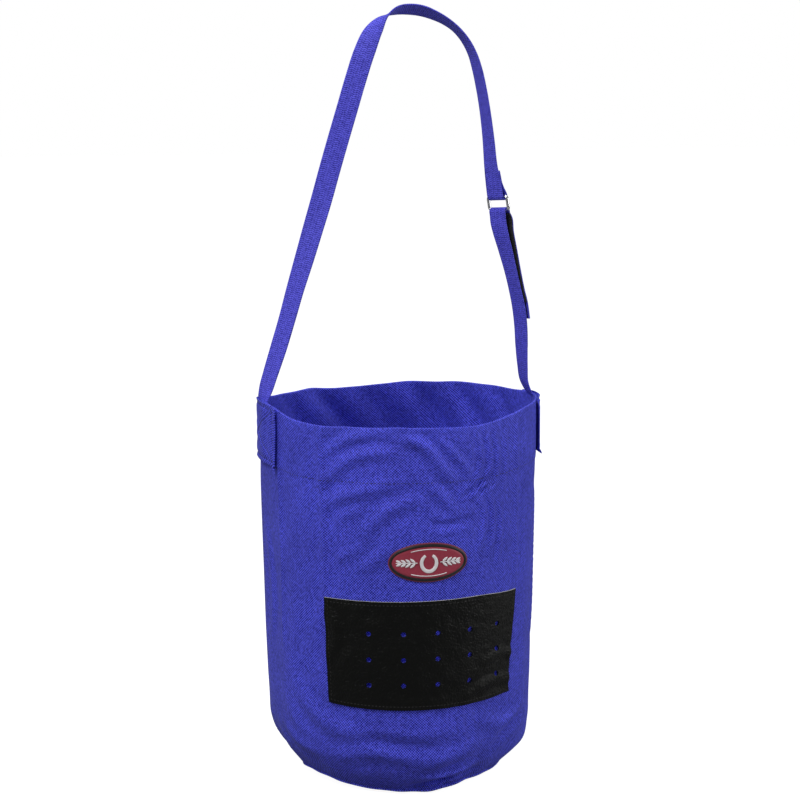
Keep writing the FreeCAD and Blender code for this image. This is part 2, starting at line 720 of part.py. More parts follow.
# ---------------------------------------------------------------- check and write
doc.recompute()
for obj in doc.Objects:
    if "Invalid" in obj.State or "Error" in obj.State:
        raise RuntimeError("%s did not compute" % obj.Name)
for obj in nodes:
    if obj.Shape.isNull() or not obj.Shape.isValid():
        raise RuntimeError("%s has no valid shape" % obj.Label)
    if not obj.Shape.Solids:
        raise RuntimeError("%s is not solid" % obj.Label)
for obj in nodes:
    obj.Shape.exportStep("parts/%s.step" % obj.Label)
    print("%-24s solids %3d  volume %10.1f" % (obj.Label, len(obj.Shape.Solids),
                                              obj.Shape.Volume))
print("hinge", HINGE, "peel", tuple(peel_point), "bar", tuple(bar), "upper", tuple(upper_bar))
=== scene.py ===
import math

import bpy
import numpy as np
from mathutils import Matrix, Vector


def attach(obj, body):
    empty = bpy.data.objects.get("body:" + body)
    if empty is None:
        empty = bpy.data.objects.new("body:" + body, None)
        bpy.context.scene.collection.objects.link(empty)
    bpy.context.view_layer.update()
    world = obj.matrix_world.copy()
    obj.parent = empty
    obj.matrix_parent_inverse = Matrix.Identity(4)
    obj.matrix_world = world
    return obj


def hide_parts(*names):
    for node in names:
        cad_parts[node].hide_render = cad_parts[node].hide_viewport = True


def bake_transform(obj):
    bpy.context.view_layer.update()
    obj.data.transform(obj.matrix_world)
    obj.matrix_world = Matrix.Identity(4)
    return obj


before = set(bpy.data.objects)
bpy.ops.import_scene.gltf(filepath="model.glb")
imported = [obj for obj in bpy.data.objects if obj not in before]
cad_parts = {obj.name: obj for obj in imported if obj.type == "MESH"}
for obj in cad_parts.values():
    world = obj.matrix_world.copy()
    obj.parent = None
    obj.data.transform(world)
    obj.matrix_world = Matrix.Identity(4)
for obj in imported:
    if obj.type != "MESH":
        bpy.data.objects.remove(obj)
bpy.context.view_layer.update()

bl_info = {
    "name": "Horse feed bag",
    "version": (1, 0, 0),
    "blender": (4, 5, 0),
    "location": "3D View > Sidebar > Feed bag",
    "description": "Builds a nylon feed bag round its measured parts",
    "category": "Add Mesh",
}

MM = 0.001
RIM = -367.0
FOOT_DROP = 357.0
FOOT_RADIUS = 99.5

# drop below the rim, half width, half depth of the hanging bag, in millimetres
LEVELS = (
    (0.0, 133.0, 116.0),
    (55.0, 132.5, 121.0),
    (110.0, 131.0, 124.0),
    (165.0, 130.0, 125.0),
    (220.0, 129.5, 125.5),
    (268.0, 128.5, 125.0),
    (308.0, 126.5, 123.5),
    (323.0, 122.5, 120.5),
    (337.0, 115.5, 114.0),
    (349.0, 106.0, 105.6),
    (FOOT_DROP, FOOT_RADIUS, 99.4),
)

# how far the soft rim stands above (+) or sags below (-) its mean line, round the mouth
RIM_SWAY = (
    (-96, 5.5), (-84, 6.0), (-71, 3.6), (-59, -3.2), (-43, -5.7), (-30, -4.7), (-14, -4.2),
    (3, -5.6), (22, -7.1), (33, -4.4), (40, -1.7), (54, 1.9), (76, 3.0), (96, 1.6),
    (110, -1.5), (128, -1.3), (140, -0.8), (153, -2.1), (168, -2.6), (187, -6.4),
    (201, -6.0), (213, -3.0), (225, -4.2), (237, -2.9), (250, 0.5), (264, 5.5),
)


def colour(text):
    """sRGB hex to the linear values that Blender's sockets take."""
    text = text.lstrip("#")
    values = []
    for start in (0, 2, 4):
        part = int(text[start:start + 2], 16) / 255
        values.append(part / 12.92 if part <= 0.04045 else ((part + 0.055) / 1.055) ** 2.4)
    return (*values, 1.0)


# ------------------------------------------------------------------ shape of the cloth
def smooth_levels():
    """The bag's outline with its corners eased over a few millimetres."""
    drops = np.arange(-12.0, 362.5, 0.5)
    table = [drops]
    for index in (1, 2):
        values = np.interp(drops, [level[0] for level in LEVELS],
                           [level[index] for level in LEVELS])
        offsets = np.arange(-18, 19) * 0.5
        weights = np.exp(-(offsets / 5.0) ** 2)
        weights /= weights.sum()
        eased = np.zeros_like(values)
        for offset, weight in zip(offsets, weights):
            eased += weight * np.interp(drops + offset, drops, values)
        near_seam = np.clip((drops - 345.0) / 10.0, 0, 1)
        table.append(eased * (1 - near_seam) + values * near_seam)
    return table


OUTLINE = smooth_levels()
SWAY_TURNS = np.array([turn for turn, _ in RIM_SWAY] + [RIM_SWAY[0][0] + 360.0])
SWAY_RISES = np.array([rise for _, rise in RIM_SWAY] + [RIM_SWAY[0][1]])


def bump(value, centre, spread):
    return np.exp(-((value - centre) / spread) ** 2)


def step(value, low, high):
    part = np.clip((value - low) / (high - low), 0, 1)
    return part * part * (3 - 2 * part)


def around(turn, centre):
    """Signed angle from a centre, wrapped to half a turn."""
    return (turn - centre + 180.0) % 360.0 - 180.0


def rim_sway(turn):
    start = SWAY_TURNS[0]
    wrapped = (turn - start) % 360.0 + start
    smooth = np.zeros_like(wrapped)
    total = 0.0
    for offset in (-6, -4, -2, 0, 2, 4, 6):
        weight = math.exp(-(offset / 4.0) ** 2)
        shifted = (wrapped + offset - start) % 360.0 + start
        smooth += weight * np.interp(shifted, SWAY_TURNS, SWAY_RISES)
        total += weight
    return smooth / total


# (height mm, half width mm, then turn and drop of its start, middle and end)
LAID_FOLDS = (
    (1.5, 5.5, (-45, 40), (-31, 13), (-15, 8)),
    (1.8, 6.0, (-44, 58), (-30, 30), (-12, 24)),
    (1.7, 5.0, (-6, 6), (3, 30), (10, 52)),
    (1.3, 4.5, (-12, 12), (-2, 16), (4, 24)),
    (1.5, 6.0, (-42, 76), (-29, 64), (-13, 55)),
    (1.5, 5.5, (-26, 104), (-16, 80), (-3, 70)),
    (1.3, 4.5, (0, 56), (6, 66), (12, 82)),
    (1.1, 4.5, (-39, 100), (-33, 84), (-24, 78)),
    (1.1, 3.6, (5, 12), (13, 30), (19, 50)),
    (1.2, 2.6, (21, 6), (24, 34), (20, 58)),
    (1.2, 2.5, (26, 8), (29, 36), (25, 60)),
    (1.0, 2.4, (31, 8), (33, 36), (31, 66)),
    (0.9, 2.4, (37, 4), (38, 40), (36, 74)),
    (-1.7, 2.3, (16, 68), (22, 60), (30, 52)),
    (-1.3, 2.2, (22, 72), (25, 64), (34, 58)),
    (1.3, 3.0, (21, 70), (26, 92), (22, 122)),
    (1.1, 2.8, (27, 66), (31, 94), (28, 128)),
    (1.0, 2.8, (33, 74), (35, 104), (33, 140)),
    (-1.3, 3.4, (1, 92), (10, 94), (20, 89)),
    (1.3, 5.0, (-28, 136), (-19, 122), (-17, 108)),
    (0.9, 4.0, (-40, 140), (-36, 126), (-27, 116)),
    (1.8, 8.0, (-58, 258), (-46, 284), (-26, 296)),
    (1.5, 7.0, (-40, 322), (-22, 312), (-6, 318)),
    (-1.6, 6.5, (-26, 300), (-8, 306), (10, 302)),
    (1.7, 7.0, (-6, 330), (8, 322), (24, 312)),
    (1.5, 6.0, (26, 286), (40, 296), (56, 284)),
    (-1.4, 6.0, (34, 322), (46, 306), (58, 300)),
    (1.2, 6.0, (-72, 300), (-62, 316), (-48, 322)),
    (0.9, 4.0, (16, 262), (30, 250), (44, 256)),
    (0.8, 3.6, (26, 232), (36, 224), (45, 236)),
    (0.8, 5.0, (-44, 176), (-38, 196), (-42, 224)),
    (1.2, 6.0, (-88, 120), (-82, 170), (-84, 220)),
    (1.3, 7.0, (70, 90), (76, 150), (72, 220)),
    (1.5, 9.0, (110, 70), (128, 96), (150, 84)),
    (1.6, 9.0, (168, 110), (186, 132), (214, 118)),
    (1.4, 8.0, (216, 70), (232, 92), (252, 88)),
    (1.5, 9.0, (120, 200), (142, 232), (170, 222)),
    (1.5, 9.0, (190, 210), (214, 238), (240, 226)),
    (1.6, 8.0, (130, 300), (160, 312), (190, 304)),
    (1.5, 8.0, (204, 308), (226, 300), (250, 312)),
)
MM_PER_TURN = 2.24


def laid_folds(turn, drop):
    """Soft single folds, each a ridge along a curve with a hollow on both sides."""
    total = np.zeros(turn.shape)
    for height, spread, start, middle, end in LAID_FOLDS:
        part = np.linspace(0, 1, 21)[:, None]
        curve = (np.array(start) * (1 - part) * (1 - 2 * part)
                 + np.array(middle) * 4 * part * (1 - part)
                 + np.array(end) * part * (2 * part - 1))
        reach = spread * 3.2
        away = around(turn, middle[0])
        near = ((abs(away) * MM_PER_TURN
                 < np.ptp(curve[:, 0]) * MM_PER_TURN + reach)
                & (abs(drop - middle[1]) < np.ptp(curve[:, 1]) + reach))
        if not near.any():
            continue
        across = away[near]
        down = drop[near]
        nearest = np.full(across.shape, 1e9)
        fade = np.zeros(across.shape)
        for spot, share in zip(curve, part[:, 0]):
            gap = np.hypot((across - (spot[0] - middle[0])) * MM_PER_TURN, down - spot[1])
            closer = gap < nearest
            nearest = np.where(closer, gap, nearest)
            fade = np.where(closer, math.sin(math.pi * (0.04 + 0.92 * share)) ** 0.6, fade)
        ridge = np.exp(-(nearest / spread) ** 2)
        ridge -= 0.5 * np.exp(-((nearest - 1.9 * spread) / (0.9 * spread)) ** 2)
        total[near] += 1.55 * height * fade * ridge
    return total


def folds(turn, drop):
    """How far the cloth stands out of its even outline, in millimetres."""
    out = np.zeros_like(turn)
    # pressed creases where the cloth was folded flat, running down to the leather
    for centre, depth, foot in ((-43.5, 1.7, 168), (45.5, 1.8, 166), (-70.0, 1.1, 235),
                                (-140.0, 0.8, 250), (132.0, 0.8, 240)):
        away = around(turn, centre + 0.006 * (drop - 80))
        fade = step(drop, 2, 16) * (1 - step(drop, foot - 25, foot))
        out += depth * fade * (bump(away, 0, 1.3) - 0.75 * bump(away, 4.0, 3.2)
                               - 0.25 * bump(away, -4.0, 3.0))
    out += laid_folds(turn, drop)
    # long soft hollows in the sides and the back
    side = step(abs(around(turn, 0)), 50, 64)
    out += side * 1.4 * step(drop, 20, 90) * (1 - step(drop, 285, 330)) * (
        np.sin(np.radians(turn) * 7 + 0.006 * drop + 0.8)
        + 0.5 * np.sin(np.radians(turn) * 13 - 0.012 * drop))
    # slanting folds of the slack back wall under the rim
    back = step(abs(around(turn, 0)), 98, 112) * (1 - step(drop, 70, 150))
    for centre, depth, spread in ((207, 5.2, 6.0), (163, 5.4, 5.5), (143, 4.4, 4.5),
                                  (122, 2.6, 4.5), (228, 2.6, 5.5), (186, 2.4, 6.0)):
        away = around(turn, centre - 0.30 * drop)
        out += back * 1.25 * depth * (0.35 + 0.65 * step(drop, -4, 26)) * (
            bump(away, 0, spread) - 0.55 * bump(away, spread * 1.7, spread * 1.1))
    # the wide tube is gathered to the smaller base
    gather = step(drop, 272, 352)
    wobble = 9.0 * np.sin(np.radians(turn) * 3 + 0.7) + 5.0 * np.sin(np.radians(turn) * 5)
    pleat = np.sin(np.radians(turn * 22 + wobble)) + 0.6 * np.sin(np.radians(turn * 13 - 40))
    out += 0.95 * gather * pleat * (0.65 + 0.35 * np.sin(np.radians(turn) * 4 + 1.0))
    hang = bump(drop, 318, 26)
    out += 1.7 * hang * np.sin(np.radians(turn) * 6 + 0.5)
    # one deep tuck above the base seam at the front
    tuck = bump(around(turn, 11.0), 0, 13.0)
    slope = drop - 348.0 + 0.20 * around(turn, 11.0)
    out += tuck * (7.0 * bump(slope, -9.0, 4.5) - 12.0 * bump(slope, 0, 3.4))
    # the right side of the foot bulges over its seam
    out += 5.5 * bump(around(turn, 76.0), 0, 30.0) * bump(drop, 338, 14)
    # the stitched hem stays slightly proud of the cloth under it
    out += 0.6 * (1 - step(drop, 53.0, 57.0)) - 0.6 * bump(drop, 54.0, 1.6)
    return out


def base_lift(turn, drop):
    """The soft foot hangs unevenly: its front left is drawn up."""
    foot = step(drop, 292, 354)
    return foot * (4.6 * bump(around(turn, -104.0), 0, 28.0)
                   + 4.6 * bump(around(turn, -60.0), 0, 24.0)
                   + 1.8 * bump(around(turn, 78.0), 0, 30.0)
                   + 3.0 * bump(around(turn, 34.0), 0, 18.0)
                   - 1.2 * bump(around(turn, -2.0), 0, 12.0) + 1.2)


def cloth_point(turn, drop):
    """Points of the outer face, in millimetres."""
    wide = np.interp(drop, OUTLINE[0], OUTLINE[1])
    deep = np.interp(drop, OUTLINE[0], OUTLINE[2])
    angle = np.radians(turn)
    direction_x = np.sin(angle) / wide
    direction_y = -np.cos(angle) / deep
    length = np.hypot(direction_x, direction_y)
    out = folds(turn, drop)
    x = wide * np.sin(angle) + direction_x / length * out
    y = -deep * np.cos(angle) + direction_y / length * out
    sway = rim_sway(turn) * np.exp(-np.maximum(drop, 0) / 46.0)
    z = RIM - drop + sway + base_lift(turn, drop)
    return np.stack([x, y, z], axis=-1)


def cloth(turn, drop, lift=0.0):
    """Points at a height off the cloth, in metres, and the outward directions."""
    turn = np.asarray(turn, float)
    drop = np.asarray(drop, float)
    turn, drop = np.broadcast_arrays(turn, drop)
    here = cloth_point(turn, drop)
    sideways = cloth_point(turn + 0.4, drop) - cloth_point(turn - 0.4, drop)
    downward = cloth_point(turn, drop + 1.0) - cloth_point(turn, drop - 1.0)
    normal = np.cross(downward, sideways)
    normal /= np.linalg.norm(normal, axis=-1, keepdims=True)
    lift = np.broadcast_to(np.asarray(lift, float), turn.shape)
    return (here + normal * lift[..., None]) * MM, normal


# ------------------------------------------------------------------ modelling helpers
def clear_selection():
    if bpy.context.object and bpy.context.object.mode != "OBJECT":
        bpy.ops.object.mode_set(mode="OBJECT")
    bpy.ops.object.select_all(action="DESELECT")


def choose(obj):
    clear_selection()
    obj.select_set(True)
    bpy.context.view_layer.objects.active = obj


def grid(name, columns, rows, place, spread):
    """A grid laid by a function of its two parameters, with a UV map in metres."""
    clear_selection()
    bpy.ops.mesh.primitive_grid_add(x_subdivisions=columns, y_subdivisions=rows, size=2.0)
    obj = bpy.context.object
    obj.name = name
    obj.data.name = name
    mesh = obj.data
    count = len(mesh.vertices)
    flat = np.empty(count * 3)
    mesh.vertices.foreach_get("co", flat)
    flat = flat.reshape(-1, 3)
    u = (flat[:, 0] + 1) / 2
    v = (flat[:, 1] + 1) / 2
    uv_of_vertex = np.stack(spread(u, v), axis=-1)
    loops = np.empty(len(mesh.loops), int)
    mesh.loops.foreach_get("vertex_index", loops)
    mesh.uv_layers.active.data.foreach_set("uv", uv_of_vertex[loops].ravel())
    mesh.vertices.foreach_set("co", np.ascontiguousarray(place(u, v)).ravel())
    mesh.update()
    return obj


def weld(obj, fill=False, distance=0.00001):
    """Closes seams and poles and turns every face outwards."""
    choose(obj)
    bpy.ops.object.mode_set(mode="EDIT")
    bpy.ops.mesh.select_all(action="SELECT")
    bpy.ops.mesh.remove_doubles(threshold=distance)
    if fill:
        bpy.ops.mesh.select_all(action="DESELECT")
        bpy.ops.mesh.select_mode(type="EDGE")
        bpy.ops.mesh.select_non_manifold(extend=False, use_boundary=True,
                                         use_wire=False, use_multi_face=False,
                                         use_non_contiguous=False, use_verts=False)
        bpy.ops.mesh.edge_face_add()
        bpy.ops.mesh.select_mode(type="VERT")
        bpy.ops.mesh.select_all(action="SELECT")
    bpy.ops.mesh.normals_make_consistent(inside=False)
    bpy.ops.object.mode_set(mode="OBJECT")


def apply_modifier(obj, kind, **settings):
    choose(obj)
    modifier = obj.modifiers.new(kind.title(), kind)
    for key, value in settings.items():
        setattr(modifier, key, value)
    bpy.ops.object.modifier_apply(modifier=modifier.name)


def smooth(obj, angle=40):
    choose(obj)
    bpy.ops.object.shade_smooth_by_angle(angle=math.radians(angle))


def finish_piece(obj, body, materials, nodes=()):
    obj.data.materials.clear()
    for material in materials:
        obj.data.materials.append(material)
    if body:
        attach(obj, body)
    if nodes:
        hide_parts(*nodes)
    return obj


def band(name, stations, width, thick, samples):
    """Flat webbing along stations of (centre, across), with rounded selvedges."""
    centres = np.array([station[0] for station in stations], float)
    across = np.array([station[1] for station in stations], float)
    gaps = np.linalg.norm(np.diff(centres, axis=0), axis=1)
    run = np.concatenate([[0], np.cumsum(gaps)])
    fine = np.linspace(0, run[-1], samples)
    centre = np.stack([spline(run, centres[:, axis], fine) for axis in range(3)], axis=-1)
    side = np.stack([spline(run, across[:, axis], fine) for axis in range(3)], axis=-1)
    along = np.gradient(centre, fine, axis=0)
    along /= np.linalg.norm(along, axis=1, keepdims=True)
    side -= along * np.sum(side * along, axis=1, keepdims=True)
    side /= np.linalg.norm(side, axis=1, keepdims=True)
    face = np.cross(along, side)
    profile = []
    half = width / 2
    for part in (-1, -0.93, -0.86, -0.6, -0.3, 0, 0.3, 0.6, 0.86, 0.93, 1):
        edge = 0.55 if abs(part) == 1 else 1.06 if abs(part) > 0.8 else 1.0
        profile.append((part * half, edge * thick / 2))
    profile += [(x, -y) for x, y in reversed(profile)]
    profile.append(profile[0])
    profile = np.array(profile)
    columns = len(profile) - 1

    def place(u, v):
        column = np.rint(u * columns).astype(int)
        row = np.rint(v * (samples - 1)).astype(int)
        point = centre[row] + side[row] * profile[column, 0:1]
        point += face[row] * profile[column, 1:2]
        return point * MM

    def spread(u, v):
        column = np.rint(u * columns).astype(int)
        row = np.rint(v * (samples - 1)).astype(int)
        return profile[column, 0] * MM, fine[row] * MM

    obj = grid(name, columns, samples - 1, place, spread)
    weld(obj, fill=True)
    smooth(obj, 50)
    return obj


def spline(knots, values, wanted):
    """Smooth curve through values at knots (cubic Hermite, finite slopes)."""
    slopes = np.gradient(values, knots)
    index = np.clip(np.searchsorted(knots, wanted) - 1, 0, len(knots) - 2)
    width = knots[index + 1] - knots[index]
    part = (wanted - knots[index]) / width
    start = (1 + 2 * part) * (1 - part) ** 2
    lead = part * (1 - part) ** 2
    stop = part ** 2 * (3 - 2 * part)
    tail = part ** 2 * (part - 1)
    return (start * values[index] + lead * width * slopes[index]
            + stop * values[index + 1] + tail * width * slopes[index + 1])


def stitches(name, places, length, width):
    """One rounded stitch, copied along a seam: places of (point m, along, out)."""
    clear_selection()
    bpy.ops.mesh.primitive_uv_sphere_add(segments=8, ring_count=5, radius=0.5)
    obj = bpy.context.object
    obj.name = name
    obj.data.name = name
    shape = np.array([vertex.co[:] for vertex in obj.data.vertices])
    faces = [tuple(face.vertices) for face in obj.data.polygons]
    # the ball is drawn out along Z, then laid along the seam
    shape = shape * np.array([width, width * 0.8, length]) * MM
    shape[:, 1] -= 0.4 * width * MM * (2 * abs(shape[:, 2]) / (length * MM)) ** 2
    verts = []
    polys = []
    for point, along, out in places:
        along = np.array(along, float)
        along /= np.linalg.norm(along)
        out = np.array(out, float)
        out -= along * out.dot(along)
        out /= np.linalg.norm(out)
        side = np.cross(out, along)
        base = len(verts)
        verts.extend((np.array(point) + shape[:, 0:1] * side + shape[:, 1:2] * out
                      + shape[:, 2:3] * along).tolist())
        polys.extend([tuple(base + i for i in face) for face in faces])
    mesh = obj.data
    mesh.clear_geometry()
    mesh.from_pydata(verts, [], polys)
    mesh.update()
    weld(obj, distance=0.0000001)
    choose(obj)
    bpy.ops.object.shade_smooth()
    return obj


def seam_places(path, pitch, lift):
    """Stitch places along (turn, drop) corners on the cloth."""
    places = []
    for (turn_a, drop_a), (turn_b, drop_b) in zip(path[:-1], path[1:]):
        parts = np.linspace(0, 1, 200)
        line, _ = cloth(turn_a + (turn_b - turn_a) * parts,
                        drop_a + (drop_b - drop_a) * parts, lift)
        lengths = np.linalg.norm(np.diff(line, axis=0), axis=1)
        run = np.concatenate([[0], np.cumsum(lengths)]) / MM
        count = max(1, int(round(run[-1] / pitch)))
        middle = (np.arange(count) + 0.5) / count * run[-1]
        part = np.interp(middle, run, parts)
        turn = turn_a + (turn_b - turn_a) * part
        drop = drop_a + (drop_b - drop_a) * part
        here, out = cloth(turn, drop, lift)
        ahead, _ = cloth(turn + (turn_b - turn_a) * 0.002, drop + (drop_b - drop_a) * 0.002,
                         lift)
        places += list(zip(here, ahead - here, out))
    return places


# ------------------------------------------------------------------ material helpers
def add(tree, kind, sockets=None, **props):
    """One node with its properties; a socket given another node's output is linked."""
    node = tree.nodes.new(kind)
    for key, value in props.items():
        setattr(node, key, value)
    for key, value in (sockets or {}).items():
        if isinstance(value, bpy.types.NodeSocket):
            tree.links.new(value, node.inputs[key])
        else:
            node.inputs[key].default_value = value
    return node


def new_material(name):
    """An empty material: itself, its tree, its shader and the place on the piece."""
    material = bpy.data.materials.new(name)
    material.use_nodes = True
    tree = material.node_tree
    tree.nodes.clear()
    output = tree.nodes.new("ShaderNodeOutputMaterial")
    shader = tree.nodes.new("ShaderNodeBsdfPrincipled")
    tree.links.new(shader.outputs[0], output.inputs[0])
    place = add(tree, "ShaderNodeTexCoord").outputs["Object"]
    return material, tree, shader, place


def uv_axes(tree, scale):
    """UV map coordinates in units of one thread."""
    uv = add(tree, "ShaderNodeUVMap", uv_map="UVMap")
    scaled = add(tree, "ShaderNodeVectorMath", {0: uv.outputs[0], 1: (scale, scale, scale)},
                 operation="MULTIPLY")
    split = add(tree, "ShaderNodeSeparateXYZ", {0: scaled.outputs[0]})
    return split.outputs[0], split.outputs[1]


def woven_nylon(name, dark, light, thread_mm):
    """Coarse nylon in plain weave: dull plump threads, painted lighter on their crowns as a
    highlight, with painted shade in the pinholes between them, and a broad soft sheen. Real
    threads are 0.5 mm; they are drawn coarser to show."""
    material, tree, shader, place = new_material(name)
    waves = []
    for axis in uv_axes(tree, 1000.0 / thread_mm):
        angle = add(tree, "ShaderNodeMath", {0: axis, 1: math.pi}, operation="MULTIPLY")
        waves.append(add(tree, "ShaderNodeMath", {0: angle.outputs[0]}, operation="SINE"))
    weave = add(tree, "ShaderNodeMath", {0: waves[0].outputs[0], 1: waves[1].outputs[0]},
                operation="MULTIPLY")
    height = add(tree, "ShaderNodeMath", {0: weave.outputs[0], 1: 0.5, 2: 0.5},
                 operation="MULTIPLY_ADD")
    uneven = add(tree, "ShaderNodeTexNoise", {"Scale": 430.0, "Detail": 4.0, "Vector": place})
    patchy = add(tree, "ShaderNodeTexNoise", {"Scale": 26.0, "Detail": 3.0, "Vector": place})
    plump = add(tree, "ShaderNodeMath", {0: height.outputs[0], 1: 0.65},
                operation="MULTIPLY")
    mixed = add(tree, "ShaderNodeMath",
                {0: uneven.outputs[0], 1: 0.7, 2: plump.outputs[0]},
                operation="MULTIPLY_ADD").outputs[0]
    # the weave height picks the colour: thread crowns take the light colour as a painted
    # highlight and the gaps take the dark colour as painted shade; the uneven noise mixed in
    # is real tone
    crisp = add(tree, "ShaderNodeMapRange", {0: mixed, 1: 0.45, 2: 0.86, 3: 0.0, 4: 1.0})
    threads = add(tree, "ShaderNodeMix", {0: crisp.outputs[0], 6: dark, 7: light},
                  data_type="RGBA")
    worn = add(tree, "ShaderNodeMath", {0: patchy.outputs[0], 1: 0.5, 2: 0.75},
               operation="MULTIPLY_ADD").outputs[0]
    grey = add(tree, "ShaderNodeCombineColor", {0: worn, 1: worn, 2: worn})
    shade = add(tree, "ShaderNodeMix", {0: 1.0, 6: threads.outputs[2], 7: grey.outputs[0]},
                data_type="RGBA", blend_type="MULTIPLY")
    tree.links.new(shade.outputs[2], shader.inputs["Base Color"])
    shader.inputs["Roughness"].default_value = 0.62
    shader.inputs["Specular IOR Level"].default_value = 0.12
    shader.inputs["Sheen Weight"].default_value = 0.04
    shader.inputs["Sheen Roughness"].default_value = 0.5
    relief = add(tree, "ShaderNodeBump", {"Strength": 0.4, "Distance": 0.0006,
                                          "Height": mixed})
    tree.links.new(relief.outputs[0], shader.inputs["Normal"])
    return material


def ribbed_webbing(name, dark, light):
    """Nylon webbing: close ribs across the tape in fine columns, a little shinier
    than the bag cloth, with a painted highlight on the rib crowns and painted shade in the
    grooves. The 1 mm ribs are drawn coarser so that they show."""
    rib_mm, column_mm = 1.9, 2.6
    material, tree, shader, place = new_material(name)
    x, y = uv_axes(tree, 1000.0)
    column = add(tree, "ShaderNodeMath", {0: x, 1: column_mm}, operation="PINGPONG")
    chevron = add(tree, "ShaderNodeMath", {0: column.outputs[0], 1: 0.34, 2: y},
                  operation="MULTIPLY_ADD")
    waves = []
    for run, pitch in ((chevron.outputs[0], rib_mm), (x, column_mm)):
        angle = add(tree, "ShaderNodeMath", {0: run, 1: 2 * math.pi / pitch},
                    operation="MULTIPLY")
        waves.append(add(tree, "ShaderNodeMath", {0: angle.outputs[0]}, operation="SINE"))
    cords = add(tree, "ShaderNodeMath", {0: waves[1].outputs[0], 1: 0.14, 2: 0.5},
                operation="MULTIPLY_ADD")
    ribs = add(tree, "ShaderNodeMath", {0: waves[0].outputs[0], 1: 0.34,
                                        2: cords.outputs[0]}, operation="MULTIPLY_ADD")
    even = add(tree, "ShaderNodeMath", {0: ribs.outputs[0], 1: 0.75, 2: -0.44},
               operation="MULTIPLY_ADD")
    uneven = add(tree, "ShaderNodeTexNoise", {"Scale": 420.0, "Detail": 4.0, "Vector": place})
    height = add(tree, "ShaderNodeMath", {0: uneven.outputs[0], 1: 1.3, 2: even.outputs[0]},
                 operation="MULTIPLY_ADD").outputs[0]
    # rib height picks the colour: painted highlight on the rib crowns and painted shade in
    # the grooves; the noise in it is real tone
    ribs_painted_lit_and_shaded = add(tree, "ShaderNodeMix", {0: height, 6: dark, 7: light}, data_type="RGBA")
    tree.links.new(ribs_painted_lit_and_shaded.outputs[2], shader.inputs["Base Color"])
    shader.inputs["Roughness"].default_value = 0.55
    shader.inputs["Specular IOR Level"].default_value = 0.2
    shader.inputs["Sheen Weight"].default_value = 0.05
    relief = add(tree, "ShaderNodeBump", {"Strength": 0.6, "Distance": 0.0007,
                                          "Height": height})
    tree.links.new(relief.outputs[0], shader.inputs["Normal"])
    return material


def pebbled_leather(name, dark, light):
    """Corrected-grain leather, finished black: small pebbles, semi-gloss on their crowns."""
    material, tree, shader, place = new_material(name)
    warp = add(tree, "ShaderNodeTexNoise", {"Scale": 260.0, "Detail": 2.0, "Vector": place})
    bent = add(tree, "ShaderNodeVectorMath",
               {0: warp.outputs["Color"], 1: (0.0012, 0.0012, 0.0012), 2: place},
               operation="MULTIPLY_ADD")
    pebble = add(tree, "ShaderNodeTexVoronoi", {"Scale": 620.0, "Vector": bent.outputs[0]},
                 feature="SMOOTH_F1")
    crease = add(tree, "ShaderNodeTexNoise", {"Scale": 70.0, "Detail": 6.0, "Vector": place})
    sunk = add(tree, "ShaderNodeMath", {0: pebble.outputs[0], 1: -1.0}, operation="MULTIPLY")
    height = add(tree, "ShaderNodeMath", {0: crease.outputs[0], 1: 4.0, 2: sunk.outputs[0]},
                 operation="MULTIPLY_ADD")
    dye = add(tree, "ShaderNodeMix", {0: crease.outputs[0], 6: dark, 7: light},
              data_type="RGBA")
    tree.links.new(dye.outputs[2], shader.inputs["Base Color"])
    gloss = add(tree, "ShaderNodeMapRange",
                {0: pebble.outputs[0], 1: 0.1, 2: 0.8, 3: 0.3, 4: 0.6})
    tree.links.new(gloss.outputs[0], shader.inputs["Roughness"])
    shader.inputs["Specular IOR Level"].default_value = 0.2
    relief = add(tree, "ShaderNodeBump", {"Strength": 0.8, "Distance": 0.0009,
                                          "Height": height.outputs[0]})
    tree.links.new(relief.outputs[0], shader.inputs["Normal"])
    return material


def moulded_rubber(name, dark, light):
    """Soft moulded label rubber: even colour with a faint satin mottling."""
    material, tree, shader, place = new_material(name)
    mottle = add(tree, "ShaderNodeTexNoise", {"Scale": 480.0, "Detail": 4.0, "Vector": place})
    pigment = add(tree, "ShaderNodeMix", {0: mottle.outputs[0], 6: dark, 7: light},
                  data_type="RGBA")
    tree.links.new(pigment.outputs[2], shader.inputs["Base Color"])
    shader.inputs["Roughness"].default_value = 0.42
    relief = add(tree, "ShaderNodeBump", {"Strength": 0.12, "Distance": 0.0003,
                                          "Height": mottle.outputs[0]})
    tree.links.new(relief.outputs[0], shader.inputs["Normal"])
    return material


def napped_tape(name, dark, light, pitch_mm):
    """Hook or loop tape: rows of short nylon bristles that hold no highlight."""
    material, tree, shader, place = new_material(name)
    cells = add(tree, "ShaderNodeTexVoronoi", {"Scale": 1000.0 / pitch_mm, "Vector": place})
    bristles = add(tree, "ShaderNodeMix", {0: cells.outputs[0], 6: light, 7: dark},
                   data_type="RGBA")
    tree.links.new(bristles.outputs[2], shader.inputs["Base Color"])
    shader.inputs["Roughness"].default_value = 0.8
    shader.inputs["Sheen Weight"].default_value = 0.1
    relief = add(tree, "ShaderNodeBump", {"Strength": 0.9, "Distance": 0.0008,
                                          "Height": cells.outputs[0]}, invert=True)
    tree.links.new(relief.outputs[0], shader.inputs["Normal"])
    return material


def spun_thread(name, dark, light):
    """Bonded nylon thread: a twisted strand with a slight waxy shine."""
    material, tree, shader, place = new_material(name)
    twist = add(tree, "ShaderNodeTexNoise", {"Scale": 2200.0, "Detail": 2.0, "Vector": place})
    strand = add(tree, "ShaderNodeMix", {0: twist.outputs[0], 6: dark, 7: light},
                 data_type="RGBA")
    tree.links.new(strand.outputs[2], shader.inputs["Base Color"])
    shader.inputs["Roughness"].default_value = 0.5
    return material


